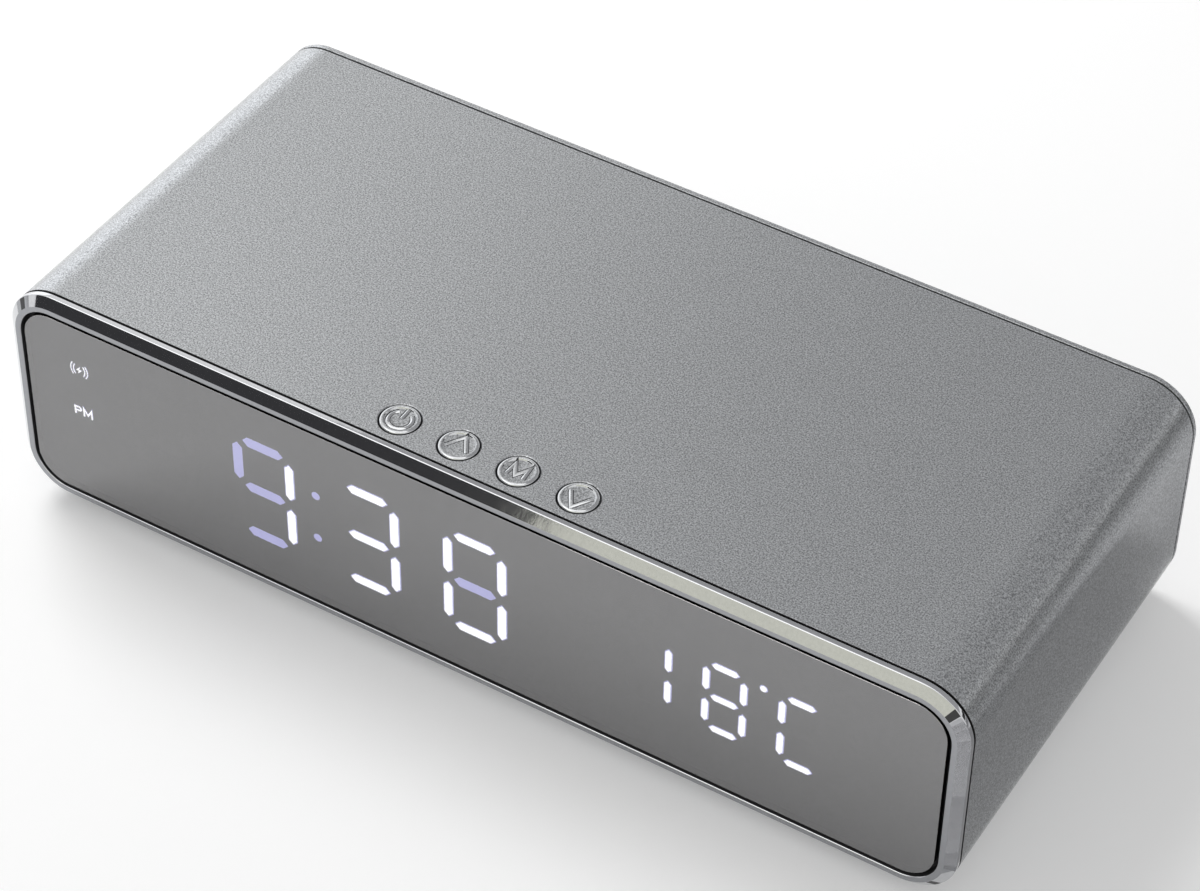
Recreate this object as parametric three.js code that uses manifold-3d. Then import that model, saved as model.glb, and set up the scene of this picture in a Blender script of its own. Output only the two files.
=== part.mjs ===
// A bedside alarm clock with a wireless charging top, taken apart into its separate pieces.
// Millimetres. X runs along the front to the viewer's right, the mirror front looks to -Y, +Z is up.
// The origin lies under the middle of the clock, on the surface that its feet stand on.
import * as THREE from 'three';
import { mergeGeometries, mergeVertices } from 'three/addons/utils/BufferGeometryUtils.js';
import Module from 'manifold-3d';

const wasm = await Module();
wasm.setup();

// Case
const CASE_WIDTH = 160;
const CASE_DEPTH = 73; // front lip of the bezel to the back of the rear cover
const CASE_HEIGHT = 40; // without the feet
const CORNER_RADIUS = 8.3;
const WALL = 2.4;
const EDGE_BREAK = 0.3; // small bevel on the sleeve's two ends
const SEAM = 0.3; // dark line between the sleeve and what closes its ends

// Clearances
const FIT = 0.3; // round a piece that sits in another
const SLIDE_FIT = 0.15; // play of a board in its guide, and of a switch pin in its bore
const STACK_GAP = 0.1; // adhesive or solder between flat faces

// Front bezel and mirror
const BEZEL_BEVEL = 1.5; // how far the sloping edge runs in
const BEVEL_DEPTH = 1.2;
const BEZEL_LIP = 0.95;
const BEZEL_RING = 2; // front lip to the seam
const MIRROR_GAP = 0.6;
const MIRROR_RECESS = 0.25;
const MIRROR_THICKNESS = 1;
const MIRROR_LEDGE = 2.55;
const BOSS_RADIUS = 2.4;
const BOSS_SINK = 0.2; // how far a boss or a screw port grows into the wall beside it
const BARB_X = 50;
const BARB_LENGTH = 9;
const BARB_DEPTH = 1.6;
const BARB_HEIGHT = 0.5; // hold of a snap barb in its pocket

// Display
const FILM_THICKNESS = 0.3;
const DIFFUSER_THICKNESS = 0.3;
const REFLECTOR_DEPTH = 4.4;
const DISPLAY_DROP = 0.9; // digits below the middle of the front
const BIG_FIRST_X = -53.35; // tens of hours
const BIG_PITCH = 18.25;
const BIG_COUNT = 4;
const BIG_DIGIT = {
  width: 9.15, // between the middles of its upright segments
  height: 9.03, // between the middles of its level segments
  acrossGap: 1.95, // what a level segment is short of the width
  uprightGap: 1.63,
  across: 1.85, // how thick a level segment is
  upright: 1.75,
};
const SMALL_FIRST_X = 30.45; // tens of degrees
const SMALL_PITCH = 12.05;
const SMALL_COUNT = 3;
const SMALL_DIGIT = {
  width: 6,
  height: 6.35,
  acrossGap: 1.25,
  uprightGap: 1.55,
  across: 1.45,
  upright: 1.35,
};
const COLON_SPREAD = 8.5;
const COLON_DIAMETER = 1.5;
const DEGREE_RISE = 6.15;
const DEGREE_DIAMETER = 1.4;
const LED_LENGTH = 1.6;
const LED_WIDTH = 0.8;
const LED_HEIGHT = 0.7;
const LED_POCKET = 0.35; // clearance of a light well round its LED

// Boards, chips and ribbons
const BOARD_THICKNESS = 1.6;
const BOARD_RIM = 0.6; // display board inside the bezel's spigot
const MAIN_BOARD_WIDTH = 100;
const GUIDE_LIP = 1.2;
const GUIDE_WALL = 1.6;
const RIBBON_THICKNESS = 0.3;
const RIBBON_BEND = 3;
const RIBBON_RUN = 2;
const RIBBON_INSERT = 1; // how deep a ribbon goes into its socket
const DISPLAY_RIBBON_WIDTH = 12;
const DISPLAY_RIBBON_X = -28;
const BUTTON_RIBBON_WIDTH = 6;
const BUTTON_RIBBON_SAG = 0.5;
const SOCKET_DEPTH = 2.2;
const SOCKET_HEIGHT = 2.5;
const SOCKET_MARGIN = 2;

// Buttons
const BUTTON_NAMES = ['power', 'up', 'mode', 'down'];
const BUTTON_PITCH = 9.9;
const BUTTON_ROW_X = 0.35; // middle of the row, right of the middle of the clock
const BUTTON_SETBACK = 6.8; // row of buttons behind the front
const BUTTON_RADIUS = 3;
const BUTTON_GAP = 0.2;
const BUTTON_PROUD = 0.15;
const BUTTON_RING = 0.6; // raised ring round the dished top
const BUTTON_DISH = 0.2;
const BUTTON_ROUND = 0.15;
const BUTTON_TRAVEL = 0.6;
const FLANGE_WIDTH = 0.5;
const FLANGE_THICKNESS = 0.8;
const SWITCH_SIDE = 5.2;
const SWITCH_HEIGHT = 2.5;
const SWITCH_FLOOR = 0.2;
const PIN_RADIUS = 1.2;
const BUTTON_BOARD_WIDTH = 40;
const BUTTON_BOARD_DEPTH = 10.2;
const BUTTON_BOARD_THICKNESS = 1;

// Charging coil
const COIL_TURNS = 8.5;
const COIL_INNER_RADIUS = 10;
const COIL_PITCH = 1.4;
const WIRE_RADIUS = 0.42;
const WIRE_CLEARANCE = 0.3;
const COIL_RAMP = 3.5; // length over which the inner end dives under the turns
const FERRITE_MARGIN = 1;
const FERRITE_THICKNESS = 1;
const CARRIER_RIM = 1.2;
const CARRIER_MARGIN = 1.5;
const CARRIER_THICKNESS = 1.6;
const CARRIER_CHAMFER = 15; // its front corners clear the guides of the button board
const LEAD_BEND = 2;
const LEAD_SETBACK = 2; // where the leads go down, in front of the carrier's back edge

// Rear cover
const REAR_RIM = 1;
const REAR_PLUG = 1; // how far the plate goes into the sleeve
const REAR_EDGE = 0.35;
const REAR_SPIGOT = 3.2;
const REAR_SPIGOT_WALL = 1.6;
const PORT_RADIUS = 3.2;
const PORT_ROOM = 1.5; // behind the heads of the display screws
const VENT_X = -38;
const VENT_COUNT = 6;
const VENT_PITCH = 3.2;
const VENT_WIDTH = 1.4;
const VENT_HEIGHT = 9;
const STOP_WIDTH = 4; // ribs that hold the boards and the coil carrier forward
const STOP_ROOM = 2.3; // main board and carrier short of the rear cover
const BOARD_STOP_X = 42;
const CARRIER_STOP_X = 15;

// Power inlet
const INLET_X = 0;
const INLET_WIDTH = 8.94;
const INLET_HEIGHT = 3.26;
const INLET_DEPTH = 7.4;
const INLET_SKIN = 0.3;
const INLET_BACK = 1.2;
const INLET_RECESS = 0.3;
const TONGUE_WIDTH = 6.7;
const TONGUE_THICKNESS = 0.7;
const TONGUE_LENGTH = 4.5;

// Button cell and its cover
const CELL_X = 30;
const CELL_Y = 0;
const CELL_RADIUS = 10;
const CELL_THICKNESS = 3.2;
const CELL_EDGE = 0.4;
const CELL_CAP = 1.1; // the smaller pole's cap inside the rim
const COVER_RADIUS = 13;
const COVER_THICKNESS = 1.2;
const COVER_CLEARANCE = 0.2;
const HUB_WALL = 1.6;
const LUG_COUNT = 3;
const LUG_REACH = 1.8;
const LUG_THICKNESS = 1.2;
const LUG_ANGLE = 24;
const LUG_TURN = 50; // from locked to the notches, in degrees
const COIN_SLOT_LENGTH = 15;
const COIN_SLOT_WIDTH = 1.9;
const COIN_SLOT_DEPTH = 0.7;
const HOLDER_WALL = 2;
const SPRING_ROOM = 1.3;
const SPRING_LENGTH = 13;
const SPRING_WIDTH = 4;
const SPRING_THICKNESS = 0.25;
const SPRING_RISE = 0.75;

// Components of the boards. `back` is measured from the back edge of the main board.
const CHARGE_CHIP = { x: -22, y: 4, width: 7, depth: 7, height: 0.9 };
const CLOCK_CHIP = { x: -28, y: -9, width: 10.3, depth: 5.3, height: 1.5, legs: 8 };
const DRIVER_CHIP = { x: 20, width: 17.9, depth: 7.5, height: 2.3 };
const RESONANT_A = { x: 10, y: 14, width: 7.3, depth: 3.6, height: 6 };
const RESONANT_B = { x: 10, y: 19, width: 7.3, depth: 3.6, height: 6 };
const INDUCTOR = { x: -6, y: 14, width: 10, height: 4.5 };
const FILTER_CAPACITOR = { x: -22, y: 17, radius: 3.15, height: 7.7 };
const CRYSTAL = { x: -38, y: -11, radius: 1, length: 6 };
const BUZZER = { x: -38, back: 12, radius: 6, height: 8.5, hole: 1.2 };
const SENSOR = { x: -26, back: 3.2, radius: 1.2, stand: 6, leg: 0.5 };
const LEG_SHARE = 0.4; // width of a chip's leg, as a share of the pitch
const LEG_REACH = 1.2;
const LEG_HEIGHT = 0.6;
const CHIP_LIFT = 0.2;
const INDUCTOR_FLANGE = 1;
const INDUCTOR_CORE = 0.55; // core of the inductor, as a share of its width

// Feet
const FOOT_RADIUS = 5;
const FOOT_PROUD = 1.6;
const FOOT_RECESS = 0.6;
const FOOT_BEVEL = 0.4;
const FOOT_INSET_X = 14;
const FOOT_INSET_Y = 12.5;

// Screws
const SCREW_RADIUS = 1;
const SCREW_HEAD_RADIUS = 2;
const SCREW_HEAD_HEIGHT = 1.1;
const SCREW_LENGTH = 6; // of the rear cover's screws
const PILOT_ROOM = 2; // below the tip of a screw
const SCREW_CROWN = 0.7; // flat top of a screw head, as a share of its radius
const CORNER_NAMES = ['low_left', 'low_right', 'high_right', 'high_left'];

// Facets
const CORNER_STEPS = 6;
const ROUND_STEPS = 28;
const SMALL_ROUND_STEPS = 12;
const LOOP_STEPS = 24;
const WIRE_SIDES = 6;
const BEND_STEPS = 3;
const RAMP_STEPS = 5;
const GAP_STEP = 0.6; // spacing of the points that the wire's gap is measured on
const OVERRUN = 1; // how far a cutter stands out of what it cuts

// Planes along the depth, front to back
const frontY = -CASE_DEPTH / 2;
const rearY = CASE_DEPTH / 2;
const sleeveFrontY = frontY + BEZEL_RING + SEAM;
const sleeveBackY = rearY - REAR_RIM - SEAM;
const mirrorY = frontY + MIRROR_RECESS;
const filmY = mirrorY + MIRROR_THICKNESS + STACK_GAP;
const ledgeY = filmY + FILM_THICKNESS + STACK_GAP;
const diffuserY = ledgeY;
const reflectorY = diffuserY + DIFFUSER_THICKNESS + STACK_GAP;
const reflectorBackY = reflectorY + REFLECTOR_DEPTH;
const displayBoardY = reflectorBackY + STACK_GAP;
const displayBoardBackY = displayBoardY + BOARD_THICKNESS;
const portFrontY = displayBoardBackY + SCREW_HEAD_HEIGHT + PORT_ROOM;
const rearPlateY = rearY - REAR_RIM - REAR_PLUG;

// Heights
const caseZ = FOOT_PROUD;
const floorZ = caseZ + WALL;
const topZ = caseZ + CASE_HEIGHT;
const ceilingZ = topZ - WALL;
const middleZ = caseZ + CASE_HEIGHT / 2;
const digitZ = middleZ - DISPLAY_DROP;

// Insets from the outline of the case
const windowInset = BEZEL_BEVEL + BEZEL_LIP;
const mirrorInset = windowInset + MIRROR_GAP;
const openingInset = windowInset + MIRROR_LEDGE;
const reflectorInset = openingInset + FIT;
const spigotInset = WALL + FIT;
const displayBoardInset = spigotInset + BOARD_RIM;
const bossInset = openingInset + BOSS_RADIUS - BOSS_SINK;
const portInset = WALL + PORT_RADIUS - BOSS_SINK;

// Button stack, downward from the top of the case
const flangeTopZ = ceilingZ - SLIDE_FIT;
const flangeZ = flangeTopZ - FLANGE_THICKNESS;
const pinTopZ = flangeZ - STACK_GAP;
const switchTopZ = pinTopZ - BUTTON_TRAVEL - SLIDE_FIT;
const switchZ = switchTopZ - SWITCH_HEIGHT;
const buttonBoardTopZ = switchZ - STACK_GAP;
const buttonBoardZ = buttonBoardTopZ - BUTTON_BOARD_THICKNESS;
const buttonY = frontY + BUTTON_SETBACK;
const flangeRadius = BUTTON_RADIUS + FLANGE_WIDTH;
const buttonBoardFrontY = buttonY - flangeRadius;
const buttonBoardBackY = buttonBoardFrontY + BUTTON_BOARD_DEPTH;
const notchY = buttonBoardFrontY - FIT;
const notchZ = buttonBoardZ - SLIDE_FIT - GUIDE_LIP - FIT;
const notchHalfWidth = BUTTON_BOARD_WIDTH / 2 + SLIDE_FIT + GUIDE_WALL + FIT;

// Coil stack, downward from the ceiling
const coilZ = ceilingZ - WIRE_CLEARANCE - WIRE_RADIUS;
const coilLeadZ = coilZ - COIL_PITCH;
const ferriteTopZ = coilZ - WIRE_RADIUS - WIRE_CLEARANCE;
const ferriteZ = ferriteTopZ - FERRITE_THICKNESS;
const carrierTopZ = ferriteZ - STACK_GAP;
const carrierZ = carrierTopZ - CARRIER_THICKNESS;
const coilOuterRadius = COIL_INNER_RADIUS + COIL_TURNS * COIL_PITCH;
const ferriteRadius = coilOuterRadius + WIRE_RADIUS + FERRITE_MARGIN;
const rimRadius = ferriteRadius + FIT;
const carrierHalf = rimRadius + CARRIER_RIM + CARRIER_MARGIN;
const carrierBackY = rearPlateY - STOP_ROOM;
const coilY = carrierBackY - carrierHalf;
const carrierFrontY = coilY - rimRadius - CARRIER_RIM;
const leadDropY = carrierBackY - LEAD_SETBACK;

// Cell stack, upward from the floor
const hubRadius = COVER_RADIUS - LUG_REACH - COVER_CLEARANCE;
const holeRadius = hubRadius + FIT;
const recessRoofZ = caseZ + COVER_THICKNESS + COVER_CLEARANCE;
const lugZ = floorZ + COVER_CLEARANCE;
const hubTopZ = lugZ + LUG_THICKNESS;
const cellZ = hubTopZ + COVER_CLEARANCE;
const cellTopZ = cellZ + CELL_THICKNESS;
const mainBoardZ = cellTopZ + SPRING_ROOM;
const mainBoardTopZ = mainBoardZ + BOARD_THICKNESS;
const mainBoardFrontY = displayBoardBackY + FIT + GUIDE_WALL + SLIDE_FIT;
const mainBoardBackY = rearPlateY - STOP_ROOM;
const guideBackY = rearPlateY - REAR_SPIGOT - FIT;
const mainSocketZ = [mainBoardTopZ + STACK_GAP, mainBoardTopZ + STACK_GAP + SOCKET_HEIGHT];
const slotDepth = RIBBON_INSERT + SLIDE_FIT;
const mainSlotZ = [mainSocketZ[1] - slotDepth, mainSocketZ[1] + OVERRUN];
const inletZ = mainBoardTopZ + STACK_GAP + INLET_HEIGHT / 2;
const rearScrewY = rearY - SCREW_HEAD_HEIGHT - 2 * STACK_GAP;

// Finishes: colour, roughness, metalness
const SILVER_PAINT = [0xb0b3b5, 0.42, 0.75];
const CHROME = [0xd8dadc, 0.08, 1];
const HALF_MIRROR = [0x82817f, 0.06, 0.9];
const BLACK_FILM = [0x0b0b0c, 0.5, 0];
const MILKY_FILM = [0xe6e8f0, 0.6, 0];
const WHITE_PLASTIC = [0xe8e8e6, 0.5, 0];
const BLACK_PLASTIC = [0x1b1b1d, 0.55, 0];
const DARK_GREY_PLASTIC = [0x6b6d70, 0.5, 0.1];
const CIRCUIT_GREEN = [0x14532d, 0.45, 0];
const CHIP_BLACK = [0x161616, 0.5, 0];
const RIBBON_WHITE = [0xdadad2, 0.5, 0];
const SOCKET_IVORY = [0xd8cfb4, 0.5, 0];
const COPPER = [0xb87333, 0.3, 1];
const FERRITE_GREY = [0x2e2e31, 0.7, 0.2];
const STEEL = [0xb9bbbd, 0.3, 1];
const TIN = [0xc9cbcc, 0.25, 1];
const CAPACITOR_BLUE = [0x2b4a86, 0.4, 0.1];
const RUBBER = [0x202022, 0.85, 0];

function part(name, geometry, [color, roughness, metalness]) {
  const mesh = new THREE.Mesh(geometry, new THREE.MeshStandardMaterial({ color, roughness, metalness }));
  mesh.name = name;
  return mesh;
}

// Solids for joining and cutting

function toSolid(geometry) {
  const bare = geometry.clone();
  bare.deleteAttribute('normal');
  bare.deleteAttribute('uv');
  const merged = mergeVertices(bare, 1e-5);
  const vertProperties = Float32Array.from(merged.attributes.position.array);
  const triVerts = Uint32Array.from(merged.index.array);
  return new wasm.Manifold(new wasm.Mesh({ numProp: 3, vertProperties, triVerts }));
}

function toGeometry(solid) {
  const mesh = solid.getMesh();
  const geometry = new THREE.BufferGeometry();
  geometry.setAttribute('position', new THREE.BufferAttribute(Float32Array.from(mesh.vertProperties), 3));
  geometry.setIndex(new THREE.BufferAttribute(Uint32Array.from(mesh.triVerts), 1));
  return geometry;
}

function joined(geometries) {
  return geometries.map(toSolid).reduce((all, one) => all.add(one));
}

function shaped(base, additions, cutters) {
  const whole = additions.reduce((all, one) => all.add(toSolid(one)), toSolid(base));
  return toGeometry(cutters.reduce((all, one) => all.subtract(toSolid(one)), whole));
}

function together(geometries) {
  const bare = geometries.map((geometry) => {
    const copy = geometry.index ? geometry.toNonIndexed() : geometry.clone();
    copy.deleteAttribute('normal');
    copy.deleteAttribute('uv');
    return copy;
  });
  return mergeVertices(mergeGeometries(bare), 1e-5);
}

// Basic forms

function block([x0, x1], [y0, y1], [z0, z1]) {
  const geometry = new THREE.BoxGeometry(x1 - x0, y1 - y0, z1 - z0);
  return geometry.translate((x0 + x1) / 2, (y0 + y1) / 2, (z0 + z1) / 2);
}

function rodZ(radius, x, y, [z0, z1], steps = ROUND_STEPS) {
  const geometry = new THREE.CylinderGeometry(radius, radius, z1 - z0, steps);
  return geometry.rotateX(Math.PI / 2).translate(x, y, (z0 + z1) / 2);
}

function rodY(radius, x, z, [y0, y1], steps = SMALL_ROUND_STEPS) {
  return new THREE.CylinderGeometry(radius, radius, y1 - y0, steps).translate(x, (y0 + y1) / 2, z);
}

function turned(profile, steps = ROUND_STEPS) {
  const points = profile.map(([radius, height]) => new THREE.Vector2(radius, height));
  return new THREE.LatheGeometry(points, steps).rotateX(Math.PI / 2);
}

function slabY(shape, [y0, y1], curveSegments = CORNER_STEPS) {
  const geometry = new THREE.ExtrudeGeometry(shape, { depth: y1 - y0, bevelEnabled: false, curveSegments });
  return geometry.rotateX(Math.PI / 2).translate(0, y1, 0);
}

// The shape is drawn in depth and height.
function slabX(shape, [x0, x1], curveSegments = CORNER_STEPS) {
  const geometry = new THREE.ExtrudeGeometry(shape, { depth: x1 - x0, bevelEnabled: false, curveSegments });
  return geometry.rotateX(Math.PI / 2).rotateZ(Math.PI / 2).translate(x0, 0, 0);
}

function slabZ(shape, [z0, z1], curveSegments = CORNER_STEPS) {
  const geometry = new THREE.ExtrudeGeometry(shape, { depth: z1 - z0, bevelEnabled: false, curveSegments });
  return geometry.translate(0, 0, z0);
}

function slotShape(length, width) {
  const reach = (length - width) / 2;
  const shape = new THREE.Shape();
  shape.absarc(reach, 0, width / 2, -Math.PI / 2, Math.PI / 2);
  shape.absarc(-reach, 0, width / 2, Math.PI / 2, Math.PI * 1.5);
  return shape;
}

// The outline of the case, seen from the front, drawn in by an inset that its corners follow.
function caseOutline(inset) {
  const radius = Math.max(CORNER_RADIUS - inset, EDGE_BREAK);
  const reachX = CASE_WIDTH / 2 - inset - radius;
  const reachZ = CASE_HEIGHT / 2 - inset - radius;
  const points = [];
  for (let quarter = 0; quarter < 4; quarter += 1) {
    const sideX = quarter === 0 || quarter === 3 ? 1 : -1;
    const sideZ = quarter < 2 ? 1 : -1;
    for (let step = 0; step <= CORNER_STEPS; step += 1) {
      const angle = (quarter + step / CORNER_STEPS) * Math.PI / 2;
      const x = sideX * reachX + radius * Math.cos(angle);
      const z = middleZ + sideZ * reachZ + radius * Math.sin(angle);
      points.push([x, z]);
    }
  }
  return points;
}

// A skin through rings of equal length, ordered front to back, with capped ends or closed on itself
function skin(rings, closed) {
  const count = rings[0].length;
  const positions = rings.flat(2);
  const index = [];
  const bands = closed ? rings.length : rings.length - 1;
  for (let band = 0; band < bands; band += 1) {
    const here = band * count;
    const next = ((band + 1) % rings.length) * count;
    for (let i = 0; i < count; i += 1) {
      const j = (i + 1) % count;
      index.push(here + i, next + i, here + j, here + j, next + i, next + j);
    }
  }
  const last = (rings.length - 1) * count;
  for (let i = 1; i < count - 1 && !closed; i += 1) {
    index.push(0, i, i + 1, last, last + i + 1, last + i);
  }
  const geometry = new THREE.BufferGeometry();
  geometry.setAttribute('position', new THREE.Float32BufferAttribute(positions, 3));
  geometry.setIndex(index);
  return geometry;
}

function caseRing([inset, y]) {
  return caseOutline(inset).map(([x, z]) => [x, y, z]);
}

// A tube round the case outline. The section lists [inset, y], rearward outside and forward inside.
function caseTube(section) {
  return skin(section.map(caseRing), true);
}

// A plate in the case outline. The edge lists [inset, y] from its front face to its back face.
function casePlate(edge) {
  return skin(edge.map(caseRing), false);
}

// The four corners at one inset, as [x, z]
function corners(inset) {
  const x = CASE_WIDTH / 2 - inset;
  const z = CASE_HEIGHT / 2 - inset;
  return [[-x, middleZ - z], [x, middleZ - z], [x, middleZ + z], [-x, middleZ + z]];
}

// Card guides: a rib beside the edge of a board, with a groove that the edge slides in.
// The groove is closed towards `stop`, which is 'front' or 'back'.
function guide(side, { edge, board, rib, run, stop }) {
  const across = (from, to) => [side * from, side * to].sort((a, b) => a - b);
  const wall = block(across(edge - GUIDE_LIP, edge + SLIDE_FIT + GUIDE_WALL), run, rib);
  const openBack = [run[0] + GUIDE_WALL, run[1] + OVERRUN];
  const openFront = [run[0] - OVERRUN, run[1] - GUIDE_WALL];
  const open = stop === 'front' ? openBack : openFront;
  const slot = [board[0] - SLIDE_FIT, board[1] + SLIDE_FIT];
  const groove = block(across(edge - GUIDE_LIP - OVERRUN, edge + SLIDE_FIT), open, slot);
  return toSolid(wall).subtract(toSolid(groove));
}

const mainGuide = {
  edge: MAIN_BOARD_WIDTH / 2,
  board: [mainBoardZ, mainBoardTopZ],
  rib: [floorZ - BOSS_SINK, mainBoardTopZ + SLIDE_FIT + GUIDE_LIP],
  run: [mainBoardFrontY - SLIDE_FIT - GUIDE_WALL, guideBackY],
  stop: 'front',
};
const buttonGuide = {
  edge: BUTTON_BOARD_WIDTH / 2,
  board: [buttonBoardZ, buttonBoardTopZ],
  rib: [buttonBoardZ - SLIDE_FIT - GUIDE_LIP, ceilingZ + BOSS_SINK],
  run: [notchY + FIT, buttonBoardBackY + SLIDE_FIT + GUIDE_WALL],
  stop: 'back',
};
const coilGuide = {
  edge: carrierHalf,
  board: [carrierZ, carrierTopZ],
  rib: [carrierZ - SLIDE_FIT - GUIDE_LIP, ceilingZ + BOSS_SINK],
  run: [carrierFrontY + CARRIER_CHAMFER - GUIDE_LIP - SLIDE_FIT - GUIDE_WALL, guideBackY],
  stop: 'front',
};

// Sleeve: one moulded tube that wraps round the sides, top and floor

function buttonXs() {
  return BUTTON_NAMES.map((_, i) => BUTTON_ROW_X + (i - (BUTTON_NAMES.length - 1) / 2) * BUTTON_PITCH);
}

function footPlaces() {
  const x = CASE_WIDTH / 2 - FOOT_INSET_X;
  const y = CASE_DEPTH / 2 - FOOT_INSET_Y;
  return { front_left: [-x, -y], front_right: [x, -y], rear_left: [-x, y], rear_right: [x, y] };
}

function barbPlaces() {
  return [-BARB_X, BARB_X].flatMap((x) => [[x, -1], [x, 1]]);
}

function barbPocket([x, side]) {
  const face = side * (CASE_HEIGHT / 2 - WALL);
  const depth = side * (BARB_HEIGHT + FIT);
  const z = [middleZ + face - side * OVERRUN, middleZ + face + depth].sort((a, b) => a - b);
  const y = [sleeveFrontY + BARB_DEPTH - FIT, sleeveFrontY + 2 * BARB_DEPTH + FIT];
  return block([x - BARB_LENGTH / 2 - FIT, x + BARB_LENGTH / 2 + FIT], y, z);
}

// A pie-shaped prism about the cell's axis, for a bayonet lug or its notch
function sector(radius, middleDegrees, spanDegrees, z) {
  const from = THREE.MathUtils.degToRad(middleDegrees - spanDegrees / 2);
  const to = THREE.MathUtils.degToRad(middleDegrees + spanDegrees / 2);
  const shape = new THREE.Shape();
  shape.moveTo(0, 0);
  shape.lineTo(radius * Math.cos(from), radius * Math.sin(from));
  shape.absarc(0, 0, radius, from, to);
  return slabZ(shape, z).translate(CELL_X, CELL_Y, 0);
}

function lugAngles() {
  return Array.from({ length: LUG_COUNT }, (_, i) => i * 360 / LUG_COUNT);
}

function cellOpening() {
  const throughFloor = [caseZ - OVERRUN, floorZ + OVERRUN];
  const recess = rodZ(COVER_RADIUS + FIT, CELL_X, CELL_Y, [caseZ - OVERRUN, recessRoofZ]);
  const hole = rodZ(holeRadius, CELL_X, CELL_Y, throughFloor);
  const play = THREE.MathUtils.radToDeg(2 * FIT / holeRadius);
  const reach = hubRadius + LUG_REACH + FIT;
  const notch = (angle) => sector(reach, angle - LUG_TURN, LUG_ANGLE + play, throughFloor);
  return [recess, hole, ...lugAngles().map(notch)];
}

function sleeve() {
  const shell = caseTube([
    [0, sleeveFrontY + EDGE_BREAK], [0, sleeveBackY - EDGE_BREAK], [EDGE_BREAK, sleeveBackY],
    [WALL, sleeveBackY], [WALL, sleeveFrontY], [EDGE_BREAK, sleeveFrontY],
  ]);
  const atPorts = (radius, y) => corners(portInset).map(([x, z]) => rodY(radius, x, z, y));
  const ports = atPorts(PORT_RADIUS, [portFrontY, rearPlateY - STACK_GAP]);
  const guides = [mainGuide, buttonGuide, coilGuide].flatMap((g) => [guide(-1, g), guide(1, g)]);
  const whole = guides.reduce((all, one) => all.add(one), joined([shell, ...ports]));
  const throughTop = [ceilingZ - OVERRUN, topZ + OVERRUN];
  const footRecess = [caseZ - OVERRUN, caseZ + FOOT_RECESS];
  const cutters = [
    ...atPorts(SCREW_RADIUS + FIT, [rearY - SCREW_LENGTH - PILOT_ROOM, rearY]),
    ...buttonXs().map((x) => rodZ(BUTTON_RADIUS + BUTTON_GAP, x, buttonY, throughTop)),
    ...Object.values(footPlaces()).map(([x, y]) => rodZ(FOOT_RADIUS + FIT, x, y, footRecess)),
    ...barbPlaces().map(barbPocket),
    ...cellOpening(),
  ];
  return toGeometry(cutters.reduce((all, one) => all.subtract(toSolid(one)), whole));
}

// Front bezel: a plated ring with the ledge for the mirror, bosses for the display board and snap barbs

function barb([x, side]) {
  const face = side * (CASE_HEIGHT / 2 - spigotInset);
  const tip = side * (CASE_HEIGHT / 2 - WALL + BARB_HEIGHT);
  const y = sleeveFrontY + BARB_DEPTH;
  const shape = new THREE.Shape([
    new THREE.Vector2(y, middleZ + face - side * BOSS_SINK),
    new THREE.Vector2(y + BARB_DEPTH, middleZ + face - side * BOSS_SINK),
    new THREE.Vector2(y + BARB_DEPTH, middleZ + face),
    new THREE.Vector2(y, middleZ + tip),
  ]);
  return slabX(shape, [x - BARB_LENGTH / 2, x + BARB_LENGTH / 2]);
}

function bosses(radius, y) {
  return corners(bossInset).map(([x, z]) => rodY(radius, x, z, y));
}

function buttonNotch() {
  const z = [notchZ, topZ - spigotInset + FIT];
  return block([-notchHalfWidth, notchHalfWidth], [notchY, displayBoardBackY + OVERRUN], z);
}

function bezel() {
  const ringBackY = frontY + BEZEL_RING;
  const ring = caseTube([
    [BEZEL_BEVEL, frontY], [0, frontY + BEVEL_DEPTH], [0, ringBackY], [spigotInset, ringBackY],
    [spigotInset, reflectorBackY], [openingInset, reflectorBackY], [openingInset, ledgeY],
    [windowInset, ledgeY], [windowInset, frontY],
  ]);
  const pilots = bosses(SCREW_RADIUS + FIT, [ledgeY + FIT, reflectorBackY + OVERRUN]);
  return shaped(
    ring,
    [...bosses(BOSS_RADIUS, [ledgeY, reflectorBackY]), ...barbPlaces().map(barb)],
    [buttonNotch(), ...pilots],
  );
}

// Display: windows and light wells from one list of segments

function hexagon({ x, z, turned: upright }, length, width, y) {
  const tip = length / 2;
  const shoulder = tip - width / 2;
  const half = width / 2;
  const points = [
    [tip, 0], [shoulder, half], [-shoulder, half],
    [-tip, 0], [-shoulder, -half], [shoulder, -half],
  ];
  return points.map(([u, v]) => (upright ? [x - v, y, z + u] : [x + u, y, z + v]));
}

function digitSegments(centreX, size) {
  const across = (z) => ({
    x: centreX,
    z,
    length: size.width - size.acrossGap,
    width: size.across,
    turned: false,
  });
  const upright = (sideX, sideZ) => ({
    x: centreX + sideX * size.width / 2,
    z: digitZ + sideZ * size.height / 2,
    length: size.height - size.uprightGap,
    width: size.upright,
    turned: true,
  });
  return [
    across(digitZ + size.height), across(digitZ), across(digitZ - size.height),
    upright(-1, 1), upright(1, 1), upright(-1, -1), upright(1, -1),
  ];
}

function digitXs(first, pitch, count) {
  return Array.from({ length: count }, (_, i) => first + i * pitch);
}

function segments() {
  const big = digitXs(BIG_FIRST_X, BIG_PITCH, BIG_COUNT);
  const small = digitXs(SMALL_FIRST_X, SMALL_PITCH, SMALL_COUNT);
  return [
    ...big.flatMap((x) => digitSegments(x, BIG_DIGIT)),
    ...small.flatMap((x) => digitSegments(x, SMALL_DIGIT)),
  ];
}

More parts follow.
